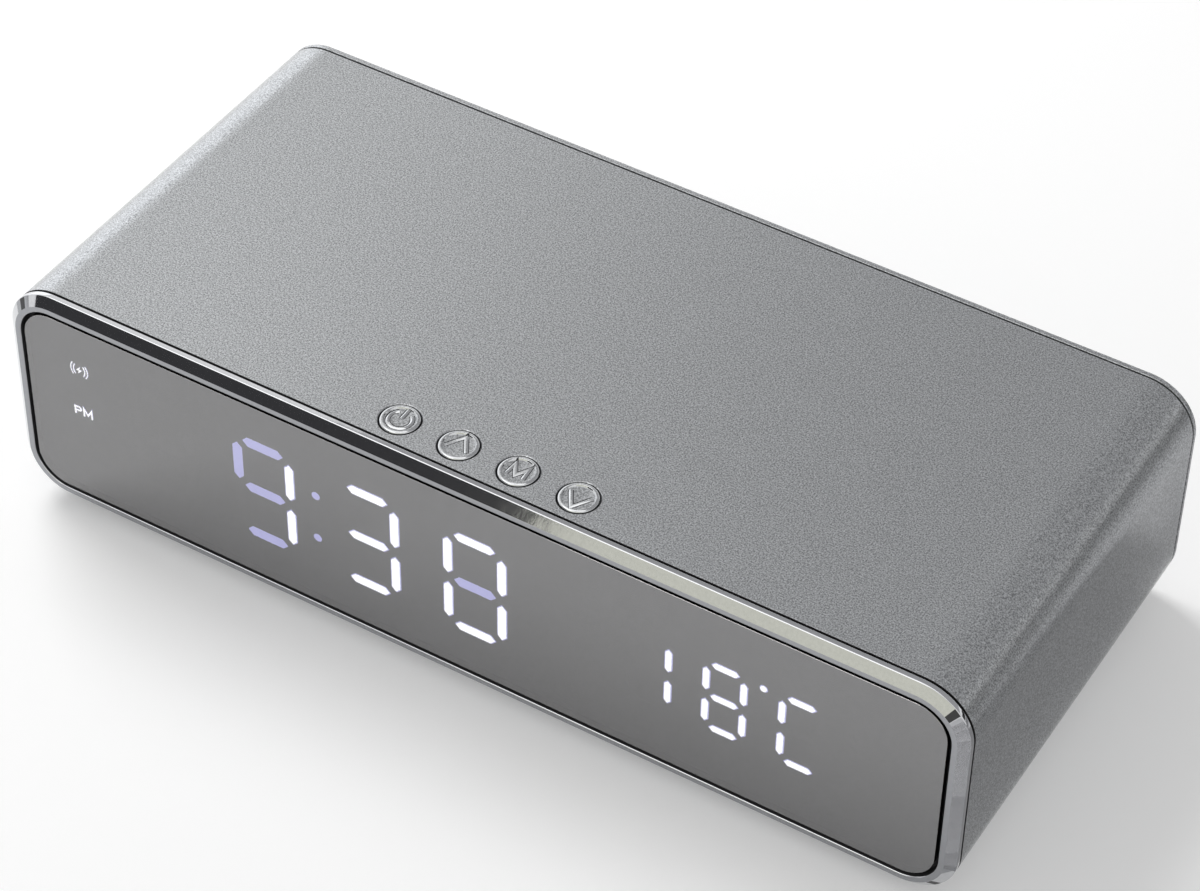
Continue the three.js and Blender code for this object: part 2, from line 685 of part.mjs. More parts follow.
function dots() {
  const colonX = BIG_FIRST_X + BIG_PITCH * (BIG_COUNT - 1) / 2;
  const degreeX = SMALL_FIRST_X + SMALL_PITCH * (SMALL_COUNT - 1.5);
  return [
    { x: colonX, z: digitZ + COLON_SPREAD / 2, diameter: COLON_DIAMETER },
    { x: colonX, z: digitZ - COLON_SPREAD / 2, diameter: COLON_DIAMETER },
    { x: degreeX, z: digitZ + DEGREE_RISE, diameter: DEGREE_DIAMETER },
  ];
}

function windows([y0, y1]) {
  const straight = (s) => skin([hexagon(s, s.length, s.width, y0), hexagon(s, s.length, s.width, y1)], false);
  return together([
    ...segments().map(straight),
    ...dots().map((d) => rodY(d.diameter / 2, d.x, d.z, [y0, y1])),
  ]);
}

// Each well narrows from its window in front to a pocket round its LED at the back.
function wells([y0, y1]) {
  const pocketWidth = LED_WIDTH + 2 * LED_POCKET;
  const pocketLength = LED_LENGTH + 2 * LED_POCKET + pocketWidth;
  const tapered = (s) => {
    const window = hexagon(s, s.length, s.width, y0);
    return skin([window, hexagon(s, pocketLength, pocketWidth, y1)], false);
  };
  const round = (d) => rodY((LED_LENGTH + LED_WIDTH) / 2 + LED_POCKET / 2, d.x, d.z, [y0, y1]);
  return together([...segments().map(tapered), ...dots().map(round)]);
}

// Each segment and dot has its own LED, soldered to the front of the display board.
function leds() {
  const led = ({ x, z, turned: upright = false }) => {
    const halfX = (upright ? LED_WIDTH : LED_LENGTH) / 2;
    const halfZ = (upright ? LED_LENGTH : LED_WIDTH) / 2;
    const y = [displayBoardY - LED_HEIGHT, displayBoardY + BOSS_SINK];
    return block([x - halfX, x + halfX], y, [z - halfZ, z + halfZ]);
  };
  return together([...segments(), ...dots()].map(led));
}

function screw(length) {
  const crown = [SCREW_HEAD_RADIUS * SCREW_CROWN, SCREW_HEAD_HEIGHT];
  return turned([
    [0, -length], [SCREW_RADIUS, -length], [SCREW_RADIUS, 0], [SCREW_HEAD_RADIUS, 0],
    [SCREW_HEAD_RADIUS, SCREW_HEAD_HEIGHT / 2], crown, [0, SCREW_HEAD_HEIGHT],
  ], SMALL_ROUND_STEPS);
}

// Screws with their heads to the back, at the corners of one inset, the heads seated at y
function screws(name, length, inset, y) {
  return corners(inset).map(([x, z], i) => {
    const place = screw(length).rotateX(-Math.PI / 2).translate(x, y, z);
    return part(`${name}_${CORNER_NAMES[i]}`, place, STEEL);
  });
}

function displayParts() {
  const cover = casePlate([[mirrorInset, mirrorY], [mirrorInset, mirrorY + MIRROR_THICKNESS]]);
  const film = casePlate([[mirrorInset, filmY], [mirrorInset, filmY + FILM_THICKNESS]]);
  const diffuser = casePlate([[reflectorInset, diffuserY], [reflectorInset, diffuserY + DIFFUSER_THICKNESS]]);
  const reflector = casePlate([[reflectorInset, reflectorY], [reflectorInset, reflectorBackY]]);
  const board = casePlate([[displayBoardInset, displayBoardY], [displayBoardInset, displayBoardBackY]]);
  const clear = (y0, y1) => bosses(BOSS_RADIUS + FIT, [y0 - OVERRUN, y1 + OVERRUN]);
  const holes = bosses(SCREW_RADIUS + FIT, [displayBoardY - OVERRUN, displayBoardBackY + OVERRUN]);
  const throughFilm = windows([filmY - OVERRUN, filmY + FILM_THICKNESS + OVERRUN]);
  const screwLength = displayBoardBackY - ledgeY - 2 * FIT;
  return [
    part('mirror_panel', cover, HALF_MIRROR),
    part('segment_film', shaped(film, [], [throughFilm]), BLACK_FILM),
    part('diffuser_sheet', shaped(diffuser, [], clear(diffuserY, reflectorY)), MILKY_FILM),
    part('light_reflector', shaped(reflector, [], [
      wells([reflectorY, reflectorBackY]), buttonNotch(), ...clear(reflectorY, reflectorBackY),
    ]), WHITE_PLASTIC),
    part('display_board', shaped(board, [leds()], [buttonNotch(), ...holes]), CIRCUIT_GREEN),
    ...screws('display_screw', screwLength, bossInset, displayBoardBackY + STACK_GAP),
  ];
}

// Buttons, each with the pin of the switch that it presses

function buttonCap(x) {
  const rim = BUTTON_PROUD - BUTTON_ROUND;
  const cap = turned([
    [0, flangeZ - topZ], [flangeRadius, flangeZ - topZ], [flangeRadius, flangeTopZ - topZ],
    [BUTTON_RADIUS, flangeTopZ - topZ], [BUTTON_RADIUS, rim], [BUTTON_RADIUS - BUTTON_ROUND, BUTTON_PROUD],
    [BUTTON_RADIUS - BUTTON_RING, BUTTON_PROUD],
    [BUTTON_RADIUS - BUTTON_RING - BUTTON_DISH, BUTTON_PROUD - BUTTON_DISH],
    [0, BUTTON_PROUD - BUTTON_DISH],
  ], LOOP_STEPS);
  return cap.translate(x, buttonY, topZ);
}

function switchBody(x) {
  const half = SWITCH_SIDE / 2;
  const body = block([x - half, x + half], [buttonY - half, buttonY + half], [switchZ, switchTopZ]);
  const boreZ = [switchZ + SWITCH_FLOOR, switchTopZ + OVERRUN];
  return shaped(body, [], [rodZ(PIN_RADIUS + SLIDE_FIT, x, buttonY, boreZ, SMALL_ROUND_STEPS)]);
}

function buttonParts() {
  const pinZ = [switchZ + SWITCH_FLOOR + BUTTON_TRAVEL + SLIDE_FIT, pinTopZ];
  const edge = BUTTON_BOARD_WIDTH / 2;
  const board = block([-edge, edge], [buttonBoardFrontY, buttonBoardBackY], [buttonBoardZ, buttonBoardTopZ]);
  const column = (name, i) => {
    const x = buttonXs()[i];
    return [
      part(`${name}_button`, buttonCap(x), SILVER_PAINT),
      part(`${name}_switch_pin`, rodZ(PIN_RADIUS, x, buttonY, pinZ, SMALL_ROUND_STEPS), BLACK_PLASTIC),
      part(`${name}_switch`, switchBody(x), STEEL),
    ];
  };
  return [...BUTTON_NAMES.flatMap(column), part('button_board', board, CIRCUIT_GREEN)];
}

// Ribbon cables between the boards, each end in its socket

function socket(width, y, z) {
  return block([-width / 2, width / 2], y, z);
}

// An L-shaped ribbon that leaves the display board level and turns down to the main board
function bentRibbon() {
  const startY = displayBoardBackY + STACK_GAP + SOCKET_DEPTH - RIBBON_INSERT;
  const shape = new THREE.Shape();
  const bendY = startY + RIBBON_INSERT + RIBBON_RUN;
  const inner = RIBBON_BEND;
  const outer = RIBBON_BEND + RIBBON_THICKNESS;
  const endZ = mainBoardTopZ + STACK_GAP + SOCKET_HEIGHT - RIBBON_INSERT;
  const centreZ = digitZ - inner;
  shape.moveTo(startY, digitZ);
  shape.lineTo(bendY, digitZ);
  shape.absarc(bendY, centreZ, inner, Math.PI / 2, 0, true);
  shape.lineTo(bendY + inner, endZ);
  shape.lineTo(bendY + outer, endZ);
  shape.absarc(bendY, centreZ, outer, 0, Math.PI / 2, false);
  shape.lineTo(startY, digitZ + RIBBON_THICKNESS);
  return { shape, endY: bendY + inner };
}

// A socket with the slot that the ribbon's end sits in
function slottedSocket(width, [y0, y1], [z0, z1], slotY, slotZ) {
  const body = socket(width + 2 * SOCKET_MARGIN, [y0, y1], [z0, z1]);
  return shaped(body, [], [socket(width + 2 * SLIDE_FIT, slotY, slotZ)]);
}

function bowedRibbon(y, [z0, z1]) {
  const half = (z1 - z0) / 2;
  const radius = (half * half + BUTTON_RIBBON_SAG * BUTTON_RIBBON_SAG) / (2 * BUTTON_RIBBON_SAG);
  const swing = Math.asin(half / radius);
  const centreY = y - radius + BUTTON_RIBBON_SAG;
  const shape = new THREE.Shape();
  shape.absarc(centreY, z0 + half, radius, -swing, swing, false);
  shape.absarc(centreY, z0 + half, radius + RIBBON_THICKNESS, swing, -swing, true);
  return shape;
}

// The slot of a socket round a ribbon whose lower or front face is given
function around(face) {
  return [face - SLIDE_FIT, face + RIBBON_THICKNESS + SLIDE_FIT];
}

function displayRibbonParts() {
  const ribbon = bentRibbon();
  const half = SOCKET_DEPTH / 2;
  const halfWidth = DISPLAY_RIBBON_WIDTH / 2;
  const frontFace = displayBoardBackY + STACK_GAP;
  const mouthY = frontFace + SOCKET_DEPTH;
  const middleY = ribbon.endY + RIBBON_THICKNESS / 2;
  const upper = slottedSocket(
    DISPLAY_RIBBON_WIDTH, [frontFace, mouthY], [digitZ - half, digitZ + half],
    [mouthY - slotDepth, mouthY + OVERRUN], around(digitZ),
  );
  const lower = slottedSocket(
    DISPLAY_RIBBON_WIDTH, [middleY - half, middleY + half], mainSocketZ,
    around(ribbon.endY), mainSlotZ,
  );
  const pieces = new THREE.Group();
  pieces.position.x = DISPLAY_RIBBON_X;
  pieces.add(
    part('display_ribbon', slabX(ribbon.shape, [-halfWidth, halfWidth]), RIBBON_WHITE),
    part('display_ribbon_socket', upper, SOCKET_IVORY),
    part('main_display_socket', lower, SOCKET_IVORY),
  );
  return pieces;
}

function buttonRibbonParts() {
  const half = SOCKET_DEPTH / 2;
  const halfWidth = BUTTON_RIBBON_WIDTH / 2;
  const y = buttonBoardBackY - half;
  const socketY = [y - half, y + half];
  const upperZ = [buttonBoardZ - STACK_GAP - SOCKET_HEIGHT, buttonBoardZ - STACK_GAP];
  const upperSlotZ = [upperZ[0] - OVERRUN, upperZ[0] + slotDepth];
  const upper = slottedSocket(BUTTON_RIBBON_WIDTH, socketY, upperZ, around(y), upperSlotZ);
  const lower = slottedSocket(BUTTON_RIBBON_WIDTH, socketY, mainSocketZ, around(y), mainSlotZ);
  const shape = bowedRibbon(y, [mainSocketZ[1] - RIBBON_INSERT, upperZ[0] + RIBBON_INSERT]);
  return [
    part('button_ribbon', slabX(shape, [-halfWidth, halfWidth]), RIBBON_WHITE),
    part('button_ribbon_socket', upper, SOCKET_IVORY),
    part('main_button_socket', lower, SOCKET_IVORY),
  ];
}

// Charging coil: one flat spiral of wire. Its outer end leaves level with the turns, its inner end
// dives under them, and both turn down to the main board behind the carrier.

function quarterBend(x, y, z, steps) {
  return Array.from({ length: steps }, (_, i) => {
    const angle = (i + 1) / (steps + 1) * Math.PI / 2;
    return new THREE.Vector3(x, y + LEAD_BEND * Math.sin(angle), z - LEAD_BEND * (1 - Math.cos(angle)));
  });
}

function lead(x, z) {
  const bendY = leadDropY - LEAD_BEND;
  return [
    new THREE.Vector3(x, bendY, z),
    ...quarterBend(x, bendY, z, BEND_STEPS),
    new THREE.Vector3(x, leadDropY, z - LEAD_BEND),
    new THREE.Vector3(x, leadDropY, mainBoardTopZ + FIT),
  ];
}

function coilPath() {
  const count = Math.round(COIL_TURNS * LOOP_STEPS);
  const spiral = Array.from({ length: count + 1 }, (_, i) => {
    const turn = i / LOOP_STEPS;
    const radius = coilOuterRadius - COIL_PITCH * turn;
    const angle = -turn * 2 * Math.PI;
    return new THREE.Vector3(radius * Math.cos(angle), coilY + radius * Math.sin(angle), coilZ);
  });
  const end = spiral[count];
  const ramp = Array.from({ length: RAMP_STEPS }, (_, i) => {
    const share = (i + 1) / RAMP_STEPS;
    const drop = COIL_PITCH * (1 - Math.cos(Math.PI * share)) / 2;
    return new THREE.Vector3(end.x, end.y + COIL_RAMP * share, coilZ - drop);
  });
  return [...lead(coilOuterRadius, coilZ).reverse(), ...spiral, ...ramp, ...lead(end.x, coilLeadZ)];
}

// A tube of WIRE_SIDES sides along a line of points, its section carried along without a twist
function wire(points, radius) {
  const side = new THREE.Vector3(1, 0, 0);
  const rings = points.map((point, i) => {
    const ahead = points[Math.min(i + 1, points.length - 1)];
    const along = ahead.clone().sub(points[Math.max(i - 1, 0)]).normalize();
    side.addScaledVector(along, -side.dot(along)).normalize();
    const other = side.clone().cross(along);
    return Array.from({ length: WIRE_SIDES }, (_, k) => {
      const angle = k / WIRE_SIDES * 2 * Math.PI;
      const out = side.clone().multiplyScalar(Math.cos(angle)).addScaledVector(other, Math.sin(angle));
      return point.clone().addScaledVector(out, radius).toArray();
    });
  });
  return skin(rings, false);
}

// The least gap between stretches of the wire that lie more than a bend apart along it
function leastGap(points, radius) {
  const fine = [];
  for (let i = 0; i + 1 < points.length; i += 1) {
    const pieces = Math.ceil(points[i].distanceTo(points[i + 1]) / GAP_STEP);
    for (let k = 0; k < pieces; k += 1) {
      fine.push(points[i].clone().lerp(points[i + 1], k / pieces));
    }
  }
  const apart = Math.ceil(Math.PI * LEAD_BEND / GAP_STEP);
  let least = Infinity;
  for (let i = 0; i < fine.length; i += 1) {
    for (let k = i + apart; k < fine.length; k += 1) {
      least = Math.min(least, fine[i].distanceToSquared(fine[k]));
    }
  }
  return Math.sqrt(least) - 2 * radius;
}

function carrierOutline() {
  const cut = carrierHalf - CARRIER_CHAMFER;
  const sideY = carrierFrontY + CARRIER_CHAMFER;
  const points = [
    [-cut, carrierFrontY], [cut, carrierFrontY], [carrierHalf, sideY],
    [carrierHalf, carrierBackY], [-carrierHalf, carrierBackY], [-carrierHalf, sideY],
  ];
  return new THREE.Shape(points.map(([x, y]) => new THREE.Vector2(x, y)));
}

function coilParts() {
  const path = coilPath();
  console.log(`charging coil: least gap to itself ${leastGap(path, WIRE_RADIUS).toFixed(2)} mm`);
  const topZ = coilZ + WIRE_RADIUS;
  const half = WIRE_RADIUS + FIT;
  const rearwards = [coilY, carrierBackY + OVERRUN];
  const innerLane = (z) => block([-COIL_INNER_RADIUS - half, -COIL_INNER_RADIUS + half], rearwards, z);
  const outerLaneX = [coilOuterRadius - half, coilOuterRadius + half];
  const outerLane = block(outerLaneX, rearwards, [coilZ - half, topZ + OVERRUN]);
  const outerSlotY = [leadDropY - LEAD_BEND, carrierBackY + OVERRUN];
  const outerSlot = block(outerLaneX, outerSlotY, [carrierZ - OVERRUN, topZ + OVERRUN]);
  const plate = slabZ(carrierOutline(), [carrierZ, carrierTopZ]);
  const rimZ = [carrierTopZ - BOSS_SINK, topZ];
  const rim = shaped(rodZ(rimRadius + CARRIER_RIM, 0, coilY, rimZ), [], [
    rodZ(rimRadius, 0, coilY, [rimZ[0] - OVERRUN, rimZ[1] + OVERRUN]),
  ]);
  const sheet = rodZ(ferriteRadius, 0, coilY, [ferriteZ, ferriteTopZ]);
  const ferrite = shaped(sheet, [], [innerLane([ferriteZ - OVERRUN, ferriteTopZ + OVERRUN])]);
  return [
    part('charging_coil', wire(path, WIRE_RADIUS), COPPER),
    part('ferrite_sheet', ferrite, FERRITE_GREY),
    part('coil_carrier', shaped(plate, [rim], [
      innerLane([carrierZ - OVERRUN, topZ + OVERRUN]), outerLane, outerSlot,
    ]), BLACK_PLASTIC),
  ];
}

// Main board and what is soldered to it

function onBoard(height) {
  return [mainBoardTopZ + STACK_GAP, mainBoardTopZ + STACK_GAP + height];
}

function component({ x, y, width, depth, height }) {
  return block([x - width / 2, x + width / 2], [y - depth / 2, y + depth / 2], onBoard(height));
}

// A chip with a row of legs down each long side
function leggedChip(chip) {
  const pitch = chip.width / chip.legs;
  const legs = Array.from({ length: chip.legs }, (_, i) => {
    const x = chip.x - chip.width / 2 + (i + 0.5) * pitch;
    return block(
      [x - pitch * LEG_SHARE / 2, x + pitch * LEG_SHARE / 2],
      [chip.y - chip.depth / 2 - LEG_REACH, chip.y + chip.depth / 2 + LEG_REACH],
      onBoard(LEG_HEIGHT),
    );
  });
  const body = component(chip).translate(0, 0, CHIP_LIFT);
  return shaped(body, legs, []);
}

function drumInductor({ x, y, width, height }) {
  const base = component({ x, y, width, depth: width, height: INDUCTOR_FLANGE });
  const [z0, z1] = onBoard(height);
  const core = rodZ(width * INDUCTOR_CORE / 2, x, y, [z0, z1], LOOP_STEPS);
  const cap = rodZ(width / 2, x, y, [z1 - INDUCTOR_FLANGE, z1], LOOP_STEPS);
  return shaped(base, [core, cap], []);
}

function buzzerCan({ x, back, radius, height, hole }) {
  const y = mainBoardBackY - back;
  const [z0, z1] = onBoard(height);
  return shaped(rodZ(radius, x, y, [z0, z1], LOOP_STEPS), [], [
    rodZ(hole, x, y, [z1 - height / 2, z1 + OVERRUN], SMALL_ROUND_STEPS),
  ]);
}

// A glass bead that stands on two legs
function bead({ x, back, radius, stand, leg }) {
  const y = mainBoardBackY - back;
  const z = mainBoardTopZ + STACK_GAP + stand;
  const ball = new THREE.SphereGeometry(radius, SMALL_ROUND_STEPS, CORNER_STEPS).translate(x, y, z);
  const legs = [-1, 1].map((side) => {
    const centre = x + side * radius / 2;
    return block([centre - leg / 2, centre + leg / 2], [y - leg / 2, y + leg / 2], onBoard(stand));
  });
  return shaped(ball, legs, []);
}

// On the back of the display board
function driverChip({ x, width, depth, height }) {
  const y = displayBoardBackY + STACK_GAP;
  const z = [digitZ - depth / 2, digitZ + depth / 2];
  return block([x - width / 2, x + width / 2], [y, y + height], z);
}

function canCapacitor({ x, y, radius, height }) {
  return rodZ(radius, x, y, onBoard(height), LOOP_STEPS);
}

function boardParts() {
  const edge = MAIN_BOARD_WIDTH / 2;
  const board = block([-edge, edge], [mainBoardFrontY, mainBoardBackY], [mainBoardZ, mainBoardTopZ]);
  const crystalZ = mainBoardTopZ + STACK_GAP + CRYSTAL.radius;
  const crystal = rodY(CRYSTAL.radius, CRYSTAL.x, crystalZ, [CRYSTAL.y, CRYSTAL.y + CRYSTAL.length]);
  return [
    part('main_board', board, CIRCUIT_GREEN),
    part('charge_controller_chip', component(CHARGE_CHIP), CHIP_BLACK),
    part('clock_chip', leggedChip(CLOCK_CHIP), CHIP_BLACK),
    part('display_driver_chip', driverChip(DRIVER_CHIP), CHIP_BLACK),
    part('resonant_capacitor_a', component(RESONANT_A), CAPACITOR_BLUE),
    part('resonant_capacitor_b', component(RESONANT_B), CAPACITOR_BLUE),
    part('power_inductor', drumInductor(INDUCTOR), FERRITE_GREY),
    part('filter_capacitor', canCapacitor(FILTER_CAPACITOR), STEEL),
    part('clock_crystal', crystal, STEEL),
    part('buzzer', buzzerCan(BUZZER), BLACK_PLASTIC),
    part('temperature_sensor', bead(SENSOR), BLACK_PLASTIC),
  ];
}

// Power inlet at the back edge of the main board

function inletParts() {
  const backY = rearY - INLET_RECESS;
  const frontFaceY = backY - INLET_DEPTH;
  const at = (geometry) => geometry.translate(INLET_X, 0, inletZ);
  const outer = at(slabY(slotShape(INLET_WIDTH, INLET_HEIGHT), [frontFaceY, backY]));
  const innerShape = slotShape(INLET_WIDTH - 2 * INLET_SKIN, INLET_HEIGHT - 2 * INLET_SKIN);
  const inner = at(slabY(innerShape, [frontFaceY + INLET_BACK, backY + OVERRUN]));
  const half = TONGUE_WIDTH / 2;
  const tongueY = frontFaceY + INLET_BACK + STACK_GAP;
  const tongueZ = [inletZ - TONGUE_THICKNESS / 2, inletZ + TONGUE_THICKNESS / 2];
  const tongue = block([INLET_X - half, INLET_X + half], [tongueY, tongueY + TONGUE_LENGTH], tongueZ);
  return [
    part('power_inlet_shell', shaped(outer, [], [inner]), TIN),
    part('power_inlet_tongue', tongue, BLACK_PLASTIC),
  ];
}

// Rear cover: a plate flush with the sleeve, with a spigot inside it and ribs that hold the boards

function rearCover() {
  const rimY = rearY - REAR_RIM;
  const plate = casePlate([
    [spigotInset, rearPlateY], [spigotInset, rimY], [0, rimY], [0, rearY - REAR_EDGE], [REAR_EDGE, rearY],
  ]);
  const rootY = rearPlateY + REAR_PLUG / 2;
  const spigot = caseTube([
    [spigotInset, rearPlateY - REAR_SPIGOT], [spigotInset, rootY],
    [spigotInset + REAR_SPIGOT_WALL, rootY], [spigotInset + REAR_SPIGOT_WALL, rearPlateY - REAR_SPIGOT],
  ]);
  const stop = (x, y, z) => block([x - STOP_WIDTH / 2, x + STOP_WIDTH / 2], [y + SLIDE_FIT, rootY], z);
  const stops = [-1, 1].flatMap((side) => [
    stop(side * BOARD_STOP_X, mainBoardBackY, [mainBoardZ, mainBoardTopZ]),
    stop(side * CARRIER_STOP_X, carrierBackY, [carrierZ, carrierTopZ]),
  ]);
  const through = [rearPlateY - OVERRUN, rearY + OVERRUN];
  const inletShape = slotShape(INLET_WIDTH + 2 * FIT, INLET_HEIGHT + 2 * FIT);
  const inlet = slabY(inletShape, through).translate(INLET_X, 0, inletZ);
  const vents = Array.from({ length: VENT_COUNT }, (_, i) => {
    const x = VENT_X + (i - (VENT_COUNT - 1) / 2) * VENT_PITCH;
    const slot = slabY(slotShape(VENT_HEIGHT, VENT_WIDTH), through);
    return slot.rotateY(Math.PI / 2).translate(x, 0, middleZ);
  });
  const screwCuts = corners(portInset).flatMap(([x, z]) => [
    rodY(PORT_RADIUS + FIT, x, z, [rearPlateY - REAR_SPIGOT - OVERRUN, rearPlateY]),
    rodY(SCREW_RADIUS + FIT, x, z, through),
    rodY(SCREW_HEAD_RADIUS + FIT, x, z, [rearScrewY, rearY + OVERRUN]),
  ]);
  return shaped(plate, [spigot, ...stops], [inlet, ...vents, ...screwCuts]);
}

// Button cell, its holder and contacts, and the twist-off cover in the floor

function batteryCover() {
  const at = [CELL_X, CELL_Y];
  const disc = rodZ(COVER_RADIUS, ...at, [caseZ, caseZ + COVER_THICKNESS]);
  const hubZ = [caseZ + COVER_THICKNESS - BOSS_SINK, hubTopZ];
  const lug = (angle) => sector(hubRadius + LUG_REACH, angle, LUG_ANGLE, [lugZ, hubTopZ]);
  const bore = rodZ(hubRadius - HUB_WALL, ...at, [caseZ + COVER_THICKNESS, hubTopZ + OVERRUN]);
  const coinShape = slotShape(COIN_SLOT_LENGTH, COIN_SLOT_WIDTH);
  const coinSlot = slabZ(coinShape, [caseZ - OVERRUN, caseZ + COIN_SLOT_DEPTH]).translate(...at, 0);
  return shaped(disc, [rodZ(hubRadius, ...at, hubZ), ...lugAngles().map(lug)], [bore, coinSlot]);
}

function buttonCell() {
  const shoulder = CELL_THICKNESS - CELL_EDGE;
  const cell = turned([
    [0, 0], [CELL_RADIUS - CELL_EDGE, 0], [CELL_RADIUS, CELL_EDGE], [CELL_RADIUS, shoulder],
    [CELL_RADIUS - CELL_CAP, shoulder], [CELL_RADIUS - CELL_CAP, CELL_THICKNESS], [0, CELL_THICKNESS],
  ]);
  return cell.translate(CELL_X, CELL_Y, cellZ);
}

function cellHolder() {
  const z = [cellZ, mainBoardZ - STACK_GAP];
  const inner = CELL_RADIUS + FIT;
  const cutZ = [z[0] - OVERRUN, z[1] + OVERRUN];
  const half = SPRING_WIDTH / 2 + FIT;
  const slotX = [CELL_X, CELL_X + inner + HOLDER_WALL + OVERRUN];
  const slot = block(slotX, [CELL_Y - half, CELL_Y + half], cutZ);
  return shaped(rodZ(inner + HOLDER_WALL, CELL_X, CELL_Y, z), [], [rodZ(inner, CELL_X, CELL_Y, cutZ), slot]);
}

// A spring strip that bows down to the cell
function cellSpring() {
  const half = SPRING_LENGTH / 2;
  const radius = (half * half + SPRING_RISE * SPRING_RISE) / (2 * SPRING_RISE);
  const swing = Math.asin(half / radius);
  const down = -Math.PI / 2;
  const centreZ = cellTopZ + STACK_GAP + radius + SPRING_THICKNESS;
  const shape = new THREE.Shape();
  shape.absarc(0, centreZ, radius, down + swing, down - swing, true);
  shape.absarc(0, centreZ, radius + SPRING_THICKNESS, down - swing, down + swing, false);
  const y = [CELL_Y - SPRING_WIDTH / 2, CELL_Y + SPRING_WIDTH / 2];
  return slabY(shape, y).translate(CELL_X, 0, 0);
}

function cellParts() {
  const sideX = CELL_X + CELL_RADIUS + STACK_GAP;
  const half = SPRING_WIDTH / 2;
  const sideZ = [cellZ, mainBoardZ - STACK_GAP];
  const side = block([sideX, sideX + SPRING_THICKNESS], [CELL_Y - half, CELL_Y + half], sideZ);
  return [
    part('battery_cover', batteryCover(), SILVER_PAINT),
    part('button_cell', buttonCell(), STEEL),
    part('cell_holder', cellHolder(), BLACK_PLASTIC),
    part('cell_top_contact', cellSpring(), STEEL),
    part('cell_side_contact', side, STEEL),
  ];
}

function foot() {
  const height = FOOT_PROUD + FOOT_RECESS - STACK_GAP;
  return turned([
    [0, 0], [FOOT_RADIUS - FOOT_BEVEL, 0], [FOOT_RADIUS, FOOT_BEVEL], [FOOT_RADIUS, height], [0, height],
  ]);
}

function feet() {
  return Object.entries(footPlaces()).map(([corner, [x, y]]) => {
    const mesh = part(`foot_${corner}`, foot(), RUBBER);
    mesh.position.set(x, y, 0);
    return mesh;
  });
}

const clock = new THREE.Group();
clock.add(
  part('case_sleeve', sleeve(), SILVER_PAINT),
  part('front_bezel', bezel(), CHROME),
  part('rear_cover', rearCover(), DARK_GREY_PLASTIC),
  ...screws('rear_screw', SCREW_LENGTH, portInset, rearScrewY + STACK_GAP),
  ...displayParts(),
  ...buttonParts(),
  displayRibbonParts(),
  ...buttonRibbonParts(),
  ...coilParts(),
  ...boardParts(),
  ...inletParts(),
  ...cellParts(),
  ...feet(),
);

export default clock;
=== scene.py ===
"""The looks of a wireless charging alarm clock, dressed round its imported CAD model."""

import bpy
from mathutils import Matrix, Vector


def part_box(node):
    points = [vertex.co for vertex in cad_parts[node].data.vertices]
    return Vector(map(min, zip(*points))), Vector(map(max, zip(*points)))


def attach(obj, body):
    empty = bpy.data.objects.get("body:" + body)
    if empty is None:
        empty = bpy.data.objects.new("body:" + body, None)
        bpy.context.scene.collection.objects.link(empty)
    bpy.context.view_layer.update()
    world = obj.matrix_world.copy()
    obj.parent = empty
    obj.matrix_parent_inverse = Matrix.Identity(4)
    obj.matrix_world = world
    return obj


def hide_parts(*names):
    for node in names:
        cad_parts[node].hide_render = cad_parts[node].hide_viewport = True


bl_info = {
    "name": "Charging Alarm Clock",
    "version": (1, 0, 0),
    "blender": (4, 5, 0),
    "location": "3D View > Sidebar > Clock",
    "description": "Builds the case, mirror front, display, buttons and inner parts of a charging clock",
    "category": "Object",
}

import math

import bmesh
import bpy
from bpy.props import FloatProperty, FloatVectorProperty, IntProperty, StringProperty
from mathutils import Matrix, Vector

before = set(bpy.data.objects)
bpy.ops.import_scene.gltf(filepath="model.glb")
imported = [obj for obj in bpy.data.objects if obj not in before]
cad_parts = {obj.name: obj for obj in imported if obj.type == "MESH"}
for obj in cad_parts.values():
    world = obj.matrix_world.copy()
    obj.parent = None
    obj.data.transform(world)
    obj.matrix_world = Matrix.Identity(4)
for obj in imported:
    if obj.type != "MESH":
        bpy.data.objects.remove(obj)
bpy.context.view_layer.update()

MM = 0.001
BODY = "clock"
BUTTONS = ("power", "up", "mode", "down")
FEET = ("foot_front_left", "foot_front_right", "foot_rear_left", "foot_rear_right")
CORNER_NAMES = ("low_left", "low_right", "high_right", "high_left")

# Places taken from the frame
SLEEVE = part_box("case_sleeve")
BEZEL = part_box("front_bezel")
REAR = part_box("rear_cover")
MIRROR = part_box("mirror_panel")
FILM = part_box("segment_film")
HALF_WIDTH = SLEEVE[1].x
HALF_HEIGHT = (SLEEVE[1].z - SLEEVE[0].z) / 2
MIDDLE_Z = (SLEEVE[1].z + SLEEVE[0].z) / 2
TOP_Z = SLEEVE[1].z
BASE_Z = SLEEVE[0].z
FRONT_Y = BEZEL[0].y
REAR_Y = REAR[1].y
MIRROR_INSET = HALF_WIDTH - MIRROR[1].x

# Fits and sizes that several pieces share
PLAY = 0.15 * MM
SINK = 0.2 * MM
OVERRUN = 1 * MM
GUIDE_LIP = 1.2 * MM
GUIDE_WALL = 1.6 * MM
CARRIER_RIM = 1.6 * MM
SPIGOT_INSET = 2.7 * MM
PILOT_RADIUS = 1.3 * MM
PORT_RADIUS = 3.2 * MM
HUB_RADIUS = 11.0 * MM
HUB_PLAY = 0.3 * MM
LUG_REACH = 1.8 * MM
LUG_HALF_ANGLE = 12
LUG_TURN = 50
BARB_X = 50 * MM
BARB_HALF = 4.5 * MM
BARB_START = 1.6 * MM
BARB_DEPTH = 1.6 * MM

# Fineness
CORNER_STEPS = 20
ROUND_STEPS = 64
EDGE_STEPS = 4
SLOT_STEPS = 12
SHARP_ANGLE = math.radians(32)


# Settings that a user would change


